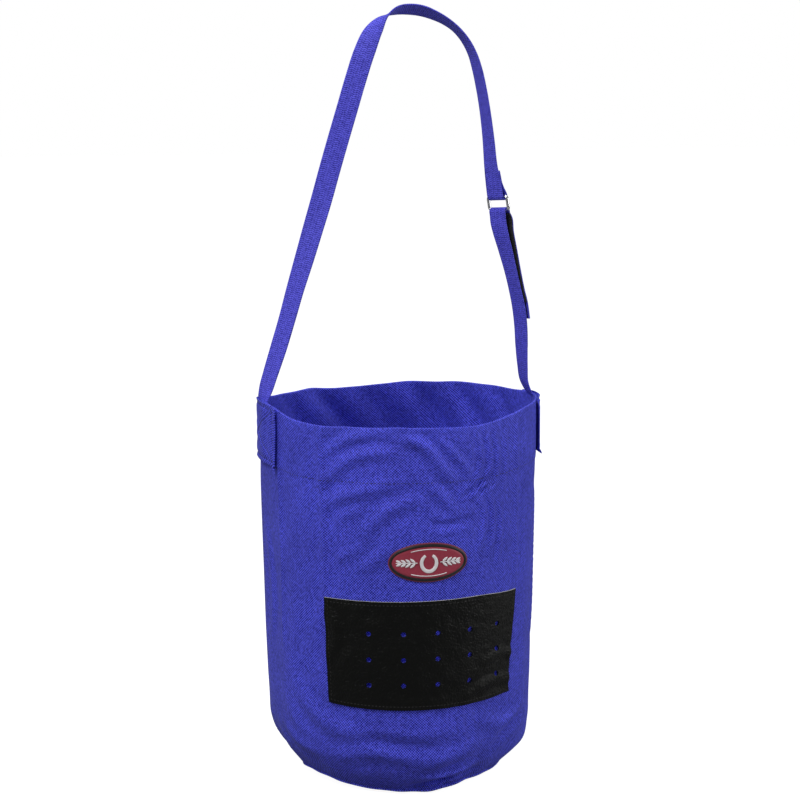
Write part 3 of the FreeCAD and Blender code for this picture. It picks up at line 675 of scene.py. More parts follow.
def plated_wire(name, dark, light):
    """Nickel-plated steel wire: bright, with the faint drag marks of its drawing die."""
    material, tree, shader, place = new_material(name)
    drag = add(tree, "ShaderNodeTexNoise", {"Scale": 300.0, "Detail": 5.0, "Vector": place})
    nickel = add(tree, "ShaderNodeMix", {0: drag.outputs[0], 6: dark, 7: light},
                 data_type="RGBA")
    tree.links.new(nickel.outputs[2], shader.inputs["Base Color"])
    shader.inputs["Metallic"].default_value = 1.0
    gloss = add(tree, "ShaderNodeMapRange",
                {0: drag.outputs[0], 1: 0.3, 2: 0.7, 3: 0.12, 4: 0.26})
    tree.links.new(gloss.outputs[0], shader.inputs["Roughness"])
    return material


def cut_edge(name, dark, light):
    """Bare split side of the leather where it was cut: pale grey-tan that is partly the bare
    fibres and partly a painted highlight along the edge.
    """
    material, tree, shader, place = new_material(name)
    fibre = add(tree, "ShaderNodeTexNoise", {"Scale": 900.0, "Detail": 4.0, "Vector": place})
    split = add(tree, "ShaderNodeMix", {0: fibre.outputs[0], 6: dark, 7: light},
                data_type="RGBA")
    tree.links.new(split.outputs[2], shader.inputs["Base Color"])
    shader.inputs["Roughness"].default_value = 0.85
    return material


# finish: (maker, material name, darker colour, lighter colour, pitch in millimetres)
FINISHES = {
    "leather": (pebbled_leather, "leather_pebbled_black", "#010201", "#060705"),
    # the pale cut-edge colour is partly bare fibre and partly a painted highlight along the
    # leather's edge
    "cut": (cut_edge, "leather_cut_edge", "#8A8A86", "#C9C8C2"),
    "edge": (moulded_rubber, "label_rubber_edge", "#6E2A3C", "#84374A"),
    "band": (moulded_rubber, "label_rubber_black", "#0C0B0D", "#17161A"),
    "field": (moulded_rubber, "label_rubber_red", "#8E2A3E", "#A63A4E"),
    "mark": (moulded_rubber, "label_rubber_white", "#DAD6DA", "#F4F1F4"),
    "hook": (napped_tape, "hook_tape_nylon", "#050506", "#1B1B1F", 1.5),
    "loop": (napped_tape, "loop_tape_nylon", "#08080A", "#222228", 0.8),
    "blue_thread": (spun_thread, "thread_blue", "#191970", "#34369C"),
    "navy_thread": (spun_thread, "thread_navy", "#0C0C40", "#1E1E66"),
    "black_thread": (spun_thread, "thread_black", "#101010", "#2A2A2A"),
    "wire": (plated_wire, "nickel_plated_wire", "#C9CBD0", "#EDEEF1"),
}
MATERIALS = {}


def material(name):
    """Each finish is made once, on first use; the two cloths take the panel's colours."""
    if name in MATERIALS:
        return MATERIALS[name]
    chosen = look()
    if name == "webbing":
        made = ribbed_webbing("nylon_webbing", (*chosen.webbing_dark, 1.0),
                              (*chosen.webbing_light, 1.0))
    elif name in ("cloth", "patch"):
        label = "nylon_plain_weave" if name == "cloth" else "nylon_patch_weave"
        made = woven_nylon(label, (*chosen.cloth_dark, 1.0), (*chosen.cloth_light, 1.0),
                           chosen.thread_mm)
    else:
        maker, label, dark, light, *pitch = FINISHES[name]
        made = maker(label, colour(dark), colour(light), *pitch)
    MATERIALS[name] = made
    return made


# ------------------------------------------------------------------ sizes and colours
class FeedBagLook(bpy.types.PropertyGroup):
    """Sizes and colours of the feed bag."""
    # cloth_dark is the cloth in painted shade between the threads; cloth_light is the cloth
    # with a painted highlight on the thread crowns
    cloth_dark: bpy.props.FloatVectorProperty(
        name="Cloth shadow", description="Colour between the threads", subtype="COLOR",
        default=colour("#080866")[:3], min=0, max=1)
    cloth_light: bpy.props.FloatVectorProperty(
        name="Cloth", description="Colour on top of the threads", subtype="COLOR",
        default=colour("#6066FA")[:3], min=0, max=1)
    # webbing_dark is the webbing in painted shade between the ribs; webbing_light is the
    # webbing with a painted highlight on the rib crowns
    webbing_dark: bpy.props.FloatVectorProperty(
        name="Webbing shadow", description="Colour between the ribs", subtype="COLOR",
        default=colour("#1C1A88")[:3], min=0, max=1)
    webbing_light: bpy.props.FloatVectorProperty(
        name="Webbing", description="Colour on top of the ribs", subtype="COLOR",
        default=colour("#6664F4")[:3], min=0, max=1)
    thread_mm: bpy.props.FloatProperty(
        name="Thread spacing", description="Spacing of the drawn weave in millimetres",
        default=1.25, min=0.3, max=4.0)
    cloth_thick: bpy.props.FloatProperty(
        name="Cloth thickness", description="Body cloth in metres", default=0.0009,
        min=0.0003, max=0.003, unit="LENGTH")
    webbing_width: bpy.props.FloatProperty(
        name="Webbing width", description="Head strap, across", default=0.020, min=0.01,
        max=0.05, unit="LENGTH")
    webbing_thick: bpy.props.FloatProperty(
        name="Webbing thickness", description="Head strap", default=0.0016, min=0.0008,
        max=0.004, unit="LENGTH")
    leather_thick: bpy.props.FloatProperty(
        name="Leather thickness", description="Front panel", default=0.0016, min=0.0008,
        max=0.004, unit="LENGTH")


def look():
    return bpy.context.scene.feed_bag_look


# ------------------------------------------------------------------ bag cloth and base
HOLE_TURNS = [4.4 + 14.2 * column for column in (-2, -1, 0, 1, 2)]
HOLE_DROPS = [195.5 + 24.6 * line for line in (0, 1, 2)]
HEM = 55.0


def punch(obj, radius_mm):
    """Cuts the breathing holes square through a piece on the front."""
    cutters = []
    for drop in HOLE_DROPS:
        for turn in HOLE_TURNS:
            spot, out = cloth(np.array([turn]), np.array([drop]))
            clear_selection()
            bpy.ops.mesh.primitive_cylinder_add(vertices=28, radius=radius_mm * MM,
                                                depth=0.020)
            pin = bpy.context.object
            lean = Vector(out[0]).to_track_quat("Z", "Y").to_matrix().to_4x4()
            pin.data.transform(Matrix.Translation(Vector(spot[0])) @ lean)
            cutters.append(pin)
    clear_selection()
    for pin in cutters:
        pin.select_set(True)
    bpy.context.view_layer.objects.active = cutters[0]
    bpy.ops.object.join()
    tool = bpy.context.object
    apply_modifier(obj, "BOOLEAN", object=tool, operation="DIFFERENCE", solver="EXACT")
    bpy.data.objects.remove(tool, do_unlink=True)


class FEEDBAG_OT_cloth(bpy.types.Operator):
    """Sews the bag body with its folds and turned hem"""
    bl_idname = "feedbag.cloth"
    bl_label = "Bag body"

    def execute(self, context):
        thick = look().cloth_thick / MM
        hem = thick * 2 + 0.5
        profile = [(drop, 0.0) for drop in np.concatenate(
            [np.linspace(FOOT_DROP, 300, 30), np.linspace(297.8, 1.2, 118)])]
        middle = hem / 2
        for angle in (20, 55, 90, 125, 160):
            rise = math.sin(math.radians(angle)) * middle * 0.8
            profile.append((0.4 - rise, -middle + middle * math.cos(math.radians(angle))))
        profile += [(drop, -hem) for drop in np.linspace(1.2, HEM, 14)]
        profile += [(HEM + 0.6, -thick - 0.2)]
        profile += [(drop, -thick) for drop in np.linspace(HEM + 3, 356.9, 42)]
        profile = np.array(profile)
        rows = len(profile) - 1
        columns = 400

        def place(u, v):
            row = np.rint(v * rows).astype(int)
            points, _ = cloth(u * 360.0 + 180.0, profile[row, 0], profile[row, 1])
            return points

        def spread(u, v):
            row = np.rint(v * rows).astype(int)
            return u * 0.793, profile[row, 0] * MM

        obj = grid("bag_body", columns, rows, place, spread)
        # the two rows at the foot are bridged by a face ring
        weld(obj)
        choose(obj)
        bpy.ops.object.mode_set(mode="EDIT")
        bpy.ops.mesh.select_all(action="DESELECT")
        bpy.ops.mesh.select_mode(type="EDGE")
        bpy.ops.mesh.select_non_manifold()
        bpy.ops.mesh.bridge_edge_loops()
        bpy.ops.mesh.select_mode(type="VERT")
        bpy.ops.mesh.select_all(action="SELECT")
        bpy.ops.mesh.normals_make_consistent(inside=False)
        bpy.ops.object.mode_set(mode="OBJECT")
        punch(obj, 1.8)
        smooth(obj, 60)
        finish_piece(obj, "bag", [material("cloth")],
                     ("front_panel", "back_panel", "hem_facing"))
        return {"FINISHED"}


class FEEDBAG_OT_base(bpy.types.Operator):
    """Sews the round base and its bound seam"""
    bl_idname = "feedbag.base"
    bl_label = "Base"

    def execute(self, context):
        def foot(turn, radius):
            edge = cloth_point(turn, np.full_like(turn, FOOT_DROP))
            scale = radius / FOOT_RADIUS
            x = edge[:, 0] * scale
            y = edge[:, 1] * scale
            sag = -0.6 - 0.8 * np.sin(np.radians(turn) * 2) * radius / 100
            z = RIM - 358.2 + (edge[:, 2] - (RIM - FOOT_DROP)) * scale ** 3 + 0.4 * sag
            return np.stack([x, y, z], axis=-1)

        # rings from the middle of the underside, over the edge, to the middle inside
        rings = [(radius, 0.0) for radius in np.linspace(0, 99.2, 34)]
        rings += [(99.2, 0.9), (99.2, 1.7)]
        rings += [(radius, 1.7) for radius in np.linspace(97, 0, 16)]
        rings = np.array(rings)
        rows = len(rings) - 1

        def place(u, v):
            row = np.rint(v * rows).astype(int)
            points = foot(u * 360.0, rings[row, 0])
            points[:, 2] += rings[row, 1]
            return points * MM

        def spread(u, v):
            row = np.rint(v * rows).astype(int)
            turn = np.radians(u * 360.0)
            return rings[row, 0] * np.sin(turn) * MM, rings[row, 0] * np.cos(turn) * MM

        obj = grid("bag_base", 180, rows, place, spread)
        weld(obj, distance=0.00002)
        smooth(obj, 60)
        finish_piece(obj, "bag", [material("patch")], ("base_panel",))

        # turned edge of the base seam: a soft lip round the foot
        section = []
        for angle in range(0, 360, 30):
            bulge = 1.25 if angle < 180 else 1.0
            section.append((1.5 * math.cos(math.radians(angle)),
                            bulge * math.sin(math.radians(angle))))
        section.append(section[0])
        section = np.array(section)

        def lip(u, v):
            column = np.rint(v * (len(section) - 1)).astype(int)
            turn = u * 360.0
            edge = cloth_point(turn, np.full_like(turn, FOOT_DROP))
            angle = np.radians(turn)
            wave = 0.25 * np.sin(angle * 19) + 0.2 * np.sin(angle * 31 + 1)
            puffed = bump(around(turn, 10.0), 0, 16.0)
            size = 0.75 + 0.5 * puffed
            out = -0.2 + 1.6 * puffed + (section[column, 0] + wave) * size
            x = edge[:, 0] + np.sin(angle) * out
            y = edge[:, 1] - np.cos(angle) * out
            z = edge[:, 2] - 0.3 + section[column, 1] * size + 0.3 * wave
            return np.stack([x, y, z], axis=-1) * MM

        obj = grid("base_seam_edge", 300, len(section) - 1, lip,
                   lambda u, v: (u * 0.628, v * 0.008))
        weld(obj)
        smooth(obj, 60)
        finish_piece(obj, "bag", [material("patch")], ("base_binding",))
        return {"FINISHED"}


# ------------------------------------------------------------------ leather and badge
def leather_edge(part_across, part_down):
    """Turn and drop on the panel from its own two coordinates, 0 to 1."""
    left = -43.4 + 1.6 * part_down
    right = 45.4 - 5.2 * part_down - 1.0 * np.sin(math.pi * part_down)
    turn = left + (right - left) * part_across
    top = 164.6 + 3.4 * step(part_across, 0.72, 1.0)
    foot = 265.2 + 3.4 * np.sin(math.pi * part_across) ** 0.7
    return turn, top + (foot - top) * part_down


class FEEDBAG_OT_leather(bpy.types.Operator):
    """Cuts, punches and sews the leather front"""
    bl_idname = "feedbag.leather"
    bl_label = "Leather front"

    def execute(self, context):
        def place(u, v):
            turn, drop = leather_edge(u, 1 - v)
            lift = 0.25 + 0.9 * step(u, 0.965, 1.0) * step(1 - v, 0.0, 0.25)
            lift = lift + 0.3 * step(1 - u, 0.97, 1.0)
            corner = step(u, 0.93, 1.0) * step(1 - v, 0.9, 1.0)
            points, _ = cloth(turn, drop, lift + 1.2 * corner)
            return points

        obj = grid("leather_front", 130, 70, place, lambda u, v: (u * 0.196, v * 0.102))
        if obj.data.polygons[0].normal.y > 0:
            obj.data.flip_normals()
        obj.data.materials.append(material("leather"))
        obj.data.materials.append(material("cut"))
        apply_modifier(obj, "SOLIDIFY", thickness=look().leather_thick, offset=1.0,
                       material_offset_rim=1, use_even_offset=True)
        punch(obj, 2.5)
        apply_modifier(obj, "BEVEL", width=0.00035, segments=2, limit_method="ANGLE",
                       angle_limit=math.radians(50))
        smooth(obj, 45)
        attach(obj, "bag")
        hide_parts("muzzle_panel")

        face = 0.25 + look().leather_thick / MM
        inset = 0.018
        high = 0.034
        corners = []
        for start, end in (((inset, high), (1 - inset, high)),
                           ((inset, 1 - high), (1 - inset, 1 - high))):
            parts = np.linspace(0, 1, 54)
            across = start[0] + (end[0] - start[0]) * parts
            down = np.full_like(parts, start[1])
            turn, drop = leather_edge(across, down)
            here, out = cloth(turn, drop, face)
            ahead = np.gradient(here, axis=0)
            corners += list(zip(here, ahead, out))
        for across_at in (inset, 1 - inset):
            parts = np.linspace(0.04, 0.96, 26)
            turn, drop = leather_edge(np.full_like(parts, across_at), parts)
            lift = face + (0.3 if across_at > 0.5 else 0.1)
            here, out = cloth(turn, drop, lift)
            corners += list(zip(here, np.gradient(here, axis=0), out))
        thread = stitches("leather_front_thread", corners, 2.7, 0.62)
        finish_piece(thread, "bag", [material("black_thread")],
                     ("muzzle_panel_stitching",))
        return {"FINISHED"}


# middle of the badge below the rim, its half axes and its place round the front
BADGE_DROP = 128.0
BADGE_WIDE = 37.5
BADGE_HIGH = 18.7
BADGE_TURN = 0.6
FRONT_ROUND = 130.0


def on_badge(x, y, lift):
    """Badge coordinates in millimetres to points lying on the bag front."""
    turn = BADGE_TURN + np.degrees(np.asarray(x, float) / FRONT_ROUND)
    drop = BADGE_DROP - np.asarray(y, float)
    points, _ = cloth(turn, drop, lift)
    return points


def oval(name, profile, columns=120):
    """An oval moulding from (inset from the outer edge, height) steps."""
    profile = np.array(profile)
    rows = len(profile) - 1

    def place(u, v):
        row = np.rint(v * rows).astype(int)
        angle = u * 2 * math.pi
        wide = np.maximum(BADGE_WIDE - profile[row, 0], 0)
        high = np.maximum(BADGE_HIGH - profile[row, 0], 0)
        shrink = np.where(profile[row, 0] >= BADGE_HIGH, 0.0, 1.0)
        return on_badge(wide * np.cos(angle) * shrink, high * np.sin(angle) * shrink,
                        profile[row, 1])

    obj = grid(name, columns, rows, place, lambda u, v: (u * 0.18, v * 0.02))
    weld(obj)
    smooth(obj, 50)
    return obj


def mark(points, half, foot, top):
    """A raised rounded stroke through badge points: its rings of vertices."""
    points = np.array(points, float)
    along = np.gradient(points, axis=0)
    along /= np.linalg.norm(along, axis=1, keepdims=True)
    side = np.stack([-along[:, 1], along[:, 0]], axis=-1)
    section = ((-1.0, 0.0), (-0.95, 0.6), (-0.6, 0.95), (0.0, 1.0), (0.6, 0.95), (0.95, 0.6),
               (1.0, 0.0))
    verts = []
    halves = np.broadcast_to(np.asarray(half, float), (len(points),))
    for width, height in section:
        spot = points + side * (width * halves)[:, None]
        verts.append(on_badge(spot[:, 0], spot[:, 1], foot + (top - foot) * height))
    return np.array(verts)


def marks_piece(name, strokes):
    """Joins strokes into one mesh of closed mouldings."""
    clear_selection()
    bpy.ops.mesh.primitive_plane_add(size=0.01)
    obj = bpy.context.object
    obj.name = name
    obj.data.name = name
    verts = []
    faces = []
    for stroke in strokes:
        lines, count = stroke.shape[0], stroke.shape[1]
        base = len(verts)
        verts += stroke.reshape(-1, 3).tolist()
        for line in range(lines):
            after = (line + 1) % lines
            for spot in range(count - 1):
                faces.append((base + line * count + spot, base + line * count + spot + 1,
                              base + after * count + spot + 1, base + after * count + spot))
        faces.append([base + line * count for line in range(lines)])
        faces.append([base + line * count + count - 1 for line in reversed(range(lines))])
    obj.data.clear_geometry()
    obj.data.from_pydata(verts, [], faces)
    obj.data.update()
    weld(obj, distance=0.000001)
    smooth(obj, 50)
    return obj


class FEEDBAG_OT_badge(bpy.types.Operator):
    """Moulds the oval badge: edge, dark band, red field and horseshoe"""
    bl_idname = "feedbag.badge"
    bl_label = "Badge"

    def execute(self, context):
        back = oval("badge_base", ((BADGE_HIGH, 0.1), (6, 0.1), (0.4, 0.1), (0.05, 0.35),
                                   (0.0, 0.9), (0.3, 1.25), (0.9, 1.35), (1.6, 1.2),
                                   (4.4, 1.0), (10, 1.0), (BADGE_HIGH, 1.0)))
        finish_piece(back, "bag", [material("edge")], ("badge_backing",))
        band_piece = oval("badge_band_ring", ((3.9, 1.05), (1.35, 1.05), (1.25, 1.6),
                                              (1.6, 2.1), (2.3, 2.3), (3.3, 2.2),
                                              (3.85, 1.8), (3.9, 1.05)))
        finish_piece(band_piece, "bag", [material("band")], ("badge_band",))
        field = oval("badge_face", ((BADGE_HIGH, 1.1), (8, 1.1), (3.8, 1.1), (3.75, 1.5),
                                    (4.1, 1.75), (6, 1.75), (10, 1.75), (BADGE_HIGH, 1.75)))
        finish_piece(field, "bag", [material("field")], ("badge_field",))

        strokes = []
        bend = np.radians(np.linspace(118, 422, 40))
        shoe = np.stack([6.9 * np.cos(bend), 7.9 * np.sin(bend) - 0.3], axis=-1)
        girth = 1.7 - 0.5 * abs(np.linspace(-1, 1, 40)) ** 3
        strokes.append(mark(shoe, girth, 1.7, 2.35))
        for side in (-1, 1):
            for number in range(4):
                foot_x = 12.6 + 4.2 * number
                for rise in (-1, 1):
                    start = np.array([side * foot_x, rise * 0.4])
                    end = start + np.array([side * 4.6, rise * (3.9 - 0.6 * number)])
                    part = np.linspace(0, 1, 9)[:, None]
                    girth = 0.15 + 1.0 * np.sin(math.pi * part[:, 0]) ** 0.8
                    strokes.append(mark(start + (end - start) * part, girth, 1.7, 2.25))
            stalk = np.stack([side * np.linspace(10.6, 30.0, 14), np.zeros(14)], axis=-1)
            strokes.append(mark(stalk, 0.42, 1.7, 2.1))
        for side in (-1, 1):
            swing = np.radians(np.linspace(56, 124, 26)) * side
            arc = np.stack([29.5 * np.cos(swing), 12.6 * np.sin(swing)], axis=-1)
            strokes.append(mark(arc, 0.42, 1.7, 2.1))
        motif = marks_piece("badge_horseshoe", strokes)
        finish_piece(motif, "bag", [material("mark")], ("badge_motif",))

        angles = np.linspace(0, 2 * math.pi, 70, endpoint=False)
        x = (BADGE_WIDE - 2.6) * np.cos(angles)
        y = (BADGE_HIGH - 2.6) * np.sin(angles)
        here = on_badge(x, y, 2.3)
        ahead = np.roll(here, -1, axis=0) - np.roll(here, 1, axis=0)
        _, out = cloth(BADGE_TURN + np.degrees(x / FRONT_ROUND), BADGE_DROP - y)
        thread = stitches("badge_thread", list(zip(here, ahead, out)), 1.7, 0.45)
        finish_piece(thread, "bag", [material("black_thread")],
                     ("badge_stitching",))
        return {"FINISHED"}


# ------------------------------------------------------------------ anchor patches
class FEEDBAG_OT_patches(bpy.types.Operator):
    """Sews the cloth patches over the strap ends"""
    bl_idname = "feedbag.patches"
    bl_label = "Anchor patches"

    def execute(self, context):
        for side, label in ((-1, "left"), (1, "right")):
            middle = 90.0 * side

            def lay(across, down, thick_lift):
                """Patch coordinates -1..1 and 0..1 to points over the strap end."""
                reach = np.where(across * side < 0, 21.5, 14.5) - 1.2 * down
                turn = middle + across * reach
                drop = -1.0 + (50.5 - 2.5 * side - 1.5 * across * side) * down
                over_strap = 1.6 * (1 - step(abs(across), 0.34, 0.62))
                edge = step(abs(across), 0.86, 1.0)
                front = edge * (across * side < 0) * 1.7
                lift = 0.5 + over_strap + front + 0.5 * edge + thick_lift
                ear = bump(across * side, -1.0, 0.12) * bump(down, 1.0, 0.08)
                # the stitches draw the patch down along a box and its diagonals
                box_edge = np.minimum(abs(abs(across) - 0.80),
                                      1.7 * np.minimum(abs(down - 0.07), abs(down - 0.93)))
                inside = (abs(across) < 0.86) & (abs(down - 0.5) < 0.46)
                slant = (down - 0.5) * 0.80 / 0.43
                cross_line = np.minimum(abs(across - slant), abs(across + slant)) * 0.72
                drawn = np.where(inside, np.minimum(box_edge, cross_line), box_edge)
                lift = lift - 0.75 * bump(drawn, 0, 0.045) + 0.25 * bump(drawn, 0.14, 0.06)
                points, normal = cloth(turn, drop + 1.5 * ear, lift + 2.0 * ear)
                return points, normal

            def place(u, v):
                return lay(u * 2 - 1, 1 - v, 0.0)[0]

            obj = grid(label + "_anchor_patch", 96, 90, place,
                       lambda u, v: (u * 0.062, v * 0.061))
            choose(obj)
            bpy.ops.object.mode_set(mode="EDIT")
            bpy.ops.mesh.select_all(action="SELECT")
            bpy.ops.mesh.normals_make_consistent(inside=False)
            bpy.ops.object.mode_set(mode="OBJECT")
            outward = sum(polygon.normal.x for polygon in obj.data.polygons) * side
            if outward < 0:
                obj.data.flip_normals()
            apply_modifier(obj, "SOLIDIFY", thickness=0.0011, offset=1.0,
                           use_even_offset=True)
            apply_modifier(obj, "BEVEL", width=0.00035, segments=2, limit_method="ANGLE",
                           angle_limit=math.radians(50))
            smooth(obj, 45)
            finish_piece(obj, "bag", [material("patch")],
                         (label + "_strap_patch",))

            path = []
            inner = 0.80
            low, high = 0.07, 0.93
            box = ((-inner, low), (inner, low), (inner, high), (-inner, high), (-inner, low))
            cross = (((-inner, low), (inner, high)), ((inner, low), (-inner, high)))
            runs = list(zip(box[:-1], box[1:])) + list(cross)
            for start, end in runs:
                long = math.hypot((end[0] - start[0]) * 31, (end[1] - start[1]) * 60)
                count = int(long / 3.2)
                part = (np.arange(count) + 0.5) / count
                across = start[0] + (end[0] - start[0]) * part
                down = start[1] + (end[1] - start[1]) * part
                here, out = lay(across, down, 1.1)
                ahead, _ = lay(across + (end[0] - start[0]) * 0.01,
                               down + (end[1] - start[1]) * 0.01, 1.1)
                path += list(zip(here, ahead - here, out))
            thread = stitches(label + "_patch_thread", path, 3.0, 1.1)
            finish_piece(thread, "bag", [material("navy_thread")],
                         (label + "_patch_stitching",))
        return {"FINISHED"}


# ------------------------------------------------------------------ straps, ring, tail
def unit(vector):
    vector = np.array(vector, float)
    return vector / np.linalg.norm(vector)


def lying(turn, tilt=0.0):
    """Direction across the webbing: turn 0 lies along +X, tilt lifts it."""
    turn, tilt = math.radians(turn), math.radians(tilt)
    return np.array([math.cos(turn) * math.cos(tilt), math.sin(turn) * math.cos(tilt),
                     math.sin(tilt)])


# frame of the ring: bars along X, strap down -Z, inside of the hoop at -Y
RING_LEAN = math.radians(9.0)
DOWN = np.array([math.sin(RING_LEAN), 0, -math.cos(RING_LEAN)])
BAR = unit(lying(-57.0) - DOWN * lying(-57.0).dot(DOWN))
INWARD = np.cross(DOWN, BAR)
FOLD = 2.9
TURN = 5.0
SNUG = 3.3
AT_RING = np.array([93.8, 0, -174.0])
UPPER_BAR = AT_RING - INWARD * FOLD
TURN_DROP = 14.6


def ring_point(x, y, z):
    """Ring coordinates to the bag's frame, in millimetres."""
    return UPPER_BAR + BAR * x - INWARD * y - DOWN * z


LEFT_ROUTE = (
    (-134.3, 0, RIM - 46, -90, 0),
    (-134.3, 0, RIM - 26, -90, 0),
    (-134.2, 0, RIM - 10, -89, 0),
    (-133.4, 0, RIM - 2, -84, 0),
    (-131.6, 0, RIM + 6, -72, 0),
    (-128.6, 0, RIM + 16, -60, 0),
    (-124.5, 0, -338.0, -56, 0),
    (-116.0, 0, -312.0, -50, 0),
    (-108.0, 0, -286.0, -49, 0),
    (-100.0, 0, -258.0, -45, 0),
    (-91.0, 0, -229.0, -36, 0),
    (-82.5, 0, -201.0, -28, 0),
    (-74.0, 0, -173.0, -19, 0),
    (-66.0, 0, -145.0, -13, 0),
    (-58.0, 0, -118.0, -12, 0),
    (-49.5, 0, -90.0, -12, 0),
    (-41.0, 0, -62.0, -14, 0),
    (-33.0, 0, -38.0, -22, 0),
    (-24.0, 0, -18.0, -42, 4),
    (-13.0, 0, -4.8, -68, 14),
    (-1.0, 0, 0.9, -86, 24),
    (11.0, 0, 1.7, -90, 28),
    (22.0, 0, 0.2, -90, 27),
    (33.0, 0, -3.6, -90, 22),
    (44.0, 0, -9.0, -88, 15),
    (55.0, 0, -17.0, -85, 8),
    (64.0, 0, -27.5, -82, 4),
    (70.5, 0, -39.5, -80, 2),
    (75.0, 0, -53.0, -77, 0),
    (79.0, 0, -70.0, -76, 0),
    (83.0, 0, -92.0, -75, 0),
    (86.5, 0, -118.0, -72, 0),
)
RIGHT_ROUTE = (
    (99.5, -1.2, -210.0, -59, 0),
    (104.2, -0.8, -226.0, -63, 0),
    (109.4, -0.5, -245.0, -68, 0),
    (114.2, 0, -264.0, -69, 0),
    (118.0, 0, -281.0, -67, 0),
    (120.2, 0, -299.0, -68, 0),
    (121.2, 0, -319.0, -71, 0),
    (122.4, 0, -338.0, -77, 0),
    (124.2, 0, RIM + 14, -83, 0),
    (128.2, 0, RIM + 5, -87, 0),
    (133.4, 0, RIM - 2, -90, 0),
    (134.6, 0, RIM - 12, -90, 0),
    (134.3, 0, RIM - 28, -90, 0),
    (134.3, 0, RIM - 46, -90, 0),
)


def stations(route):
    return [(np.array(step_[:3], float), lying(step_[3], step_[4])) for step_ in route]


def square_out(places, distance):
    """Stations moved square to the webbing, out of the hoop."""
    centres = np.array([place[0] for place in places])
    along = np.gradient(centres, axis=0)
    moved = []
    for index, (centre, across) in enumerate(places):
        forward = unit(along[index])
        flat = unit(across - forward * across.dot(forward))
        face = np.cross(forward, flat)
        gap = distance[index] if hasattr(distance, "__len__") else distance
        moved.append((centre - face * gap, flat))
    return moved


def loop_of(centre_z, radius, start, end, steps):
    """Half turn round a bar in ring coordinates, from one angle to another."""
    places = []
    for angle in np.radians(np.linspace(start, end, steps)):
        places.append((ring_point(0, radius * math.sin(angle),
                                  centre_z + radius * math.cos(angle)), BAR))
    return places


class FEEDBAG_OT_straps(bpy.types.Operator):
    """Runs the head strap from both anchors to the ring"""
    bl_idname = "feedbag.straps"
    bl_label = "Head strap"

    def execute(self, context):
        width = look().webbing_width / MM
        thick = look().webbing_thick / MM
        path = stations(LEFT_ROUTE)
        path += [(ring_point(0, -FOLD, z), lying(turn)) for z, turn in
                 ((28.0, -66), (20.0, -62), (12.0, -59), (5.0, -57))]
        path += loop_of(0.0, FOLD, 270, 90, 13)
        path += [(ring_point(0, rise, z), lying(turn)) for rise, z, turn in
                 ((2.2, 4.0, -57), (0.2, 9.0, -58), (-1.0, 14.0, -60), (-1.2, 20.0, -62),
                  (-1.2, 25.0, -64))]
        left = band("long_strap", path, width, thick, 620)
        finish_piece(left, None, [material("webbing")],
                     ("upper_strap", "left_strap_end"))
        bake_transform(left)

        path = [(ring_point(0, SNUG, -TURN_DROP - 2.0), BAR)]
        path += loop_of(-TURN_DROP, SNUG, 90, -90, 15)
        path += [(ring_point(0, -SNUG, -TURN_DROP - 3.0), BAR),
                 (ring_point(0, -SNUG - 0.5, -TURN_DROP - 9.0), BAR)]
        path += stations(RIGHT_ROUTE)
        right = band("short_strap", path, width, thick, 320)
        finish_piece(right, None, [material("webbing")],
                     ("lower_strap", "right_strap_end"))
        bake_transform(right)

        # box of stitches that closes the fold above the ring
        places = []
        front = -FOLD - thick / 2
        for z in (7.5, 24.5):
            for x in np.arange(-7.6, 7.7, 2.53):
                places.append((ring_point(x, front, z) * MM, BAR, INWARD))
        for x in (-8.2, 8.2):
            for z in np.arange(9.0, 24.0, 2.8):
                places.append((ring_point(x, front, z) * MM, DOWN, INWARD))
        thread = stitches("fold_thread", places, 2.1, 0.6)
        finish_piece(thread, "strap", [material("blue_thread")],
                     ("ring_fold_stitching",))
        return {"FINISHED"}


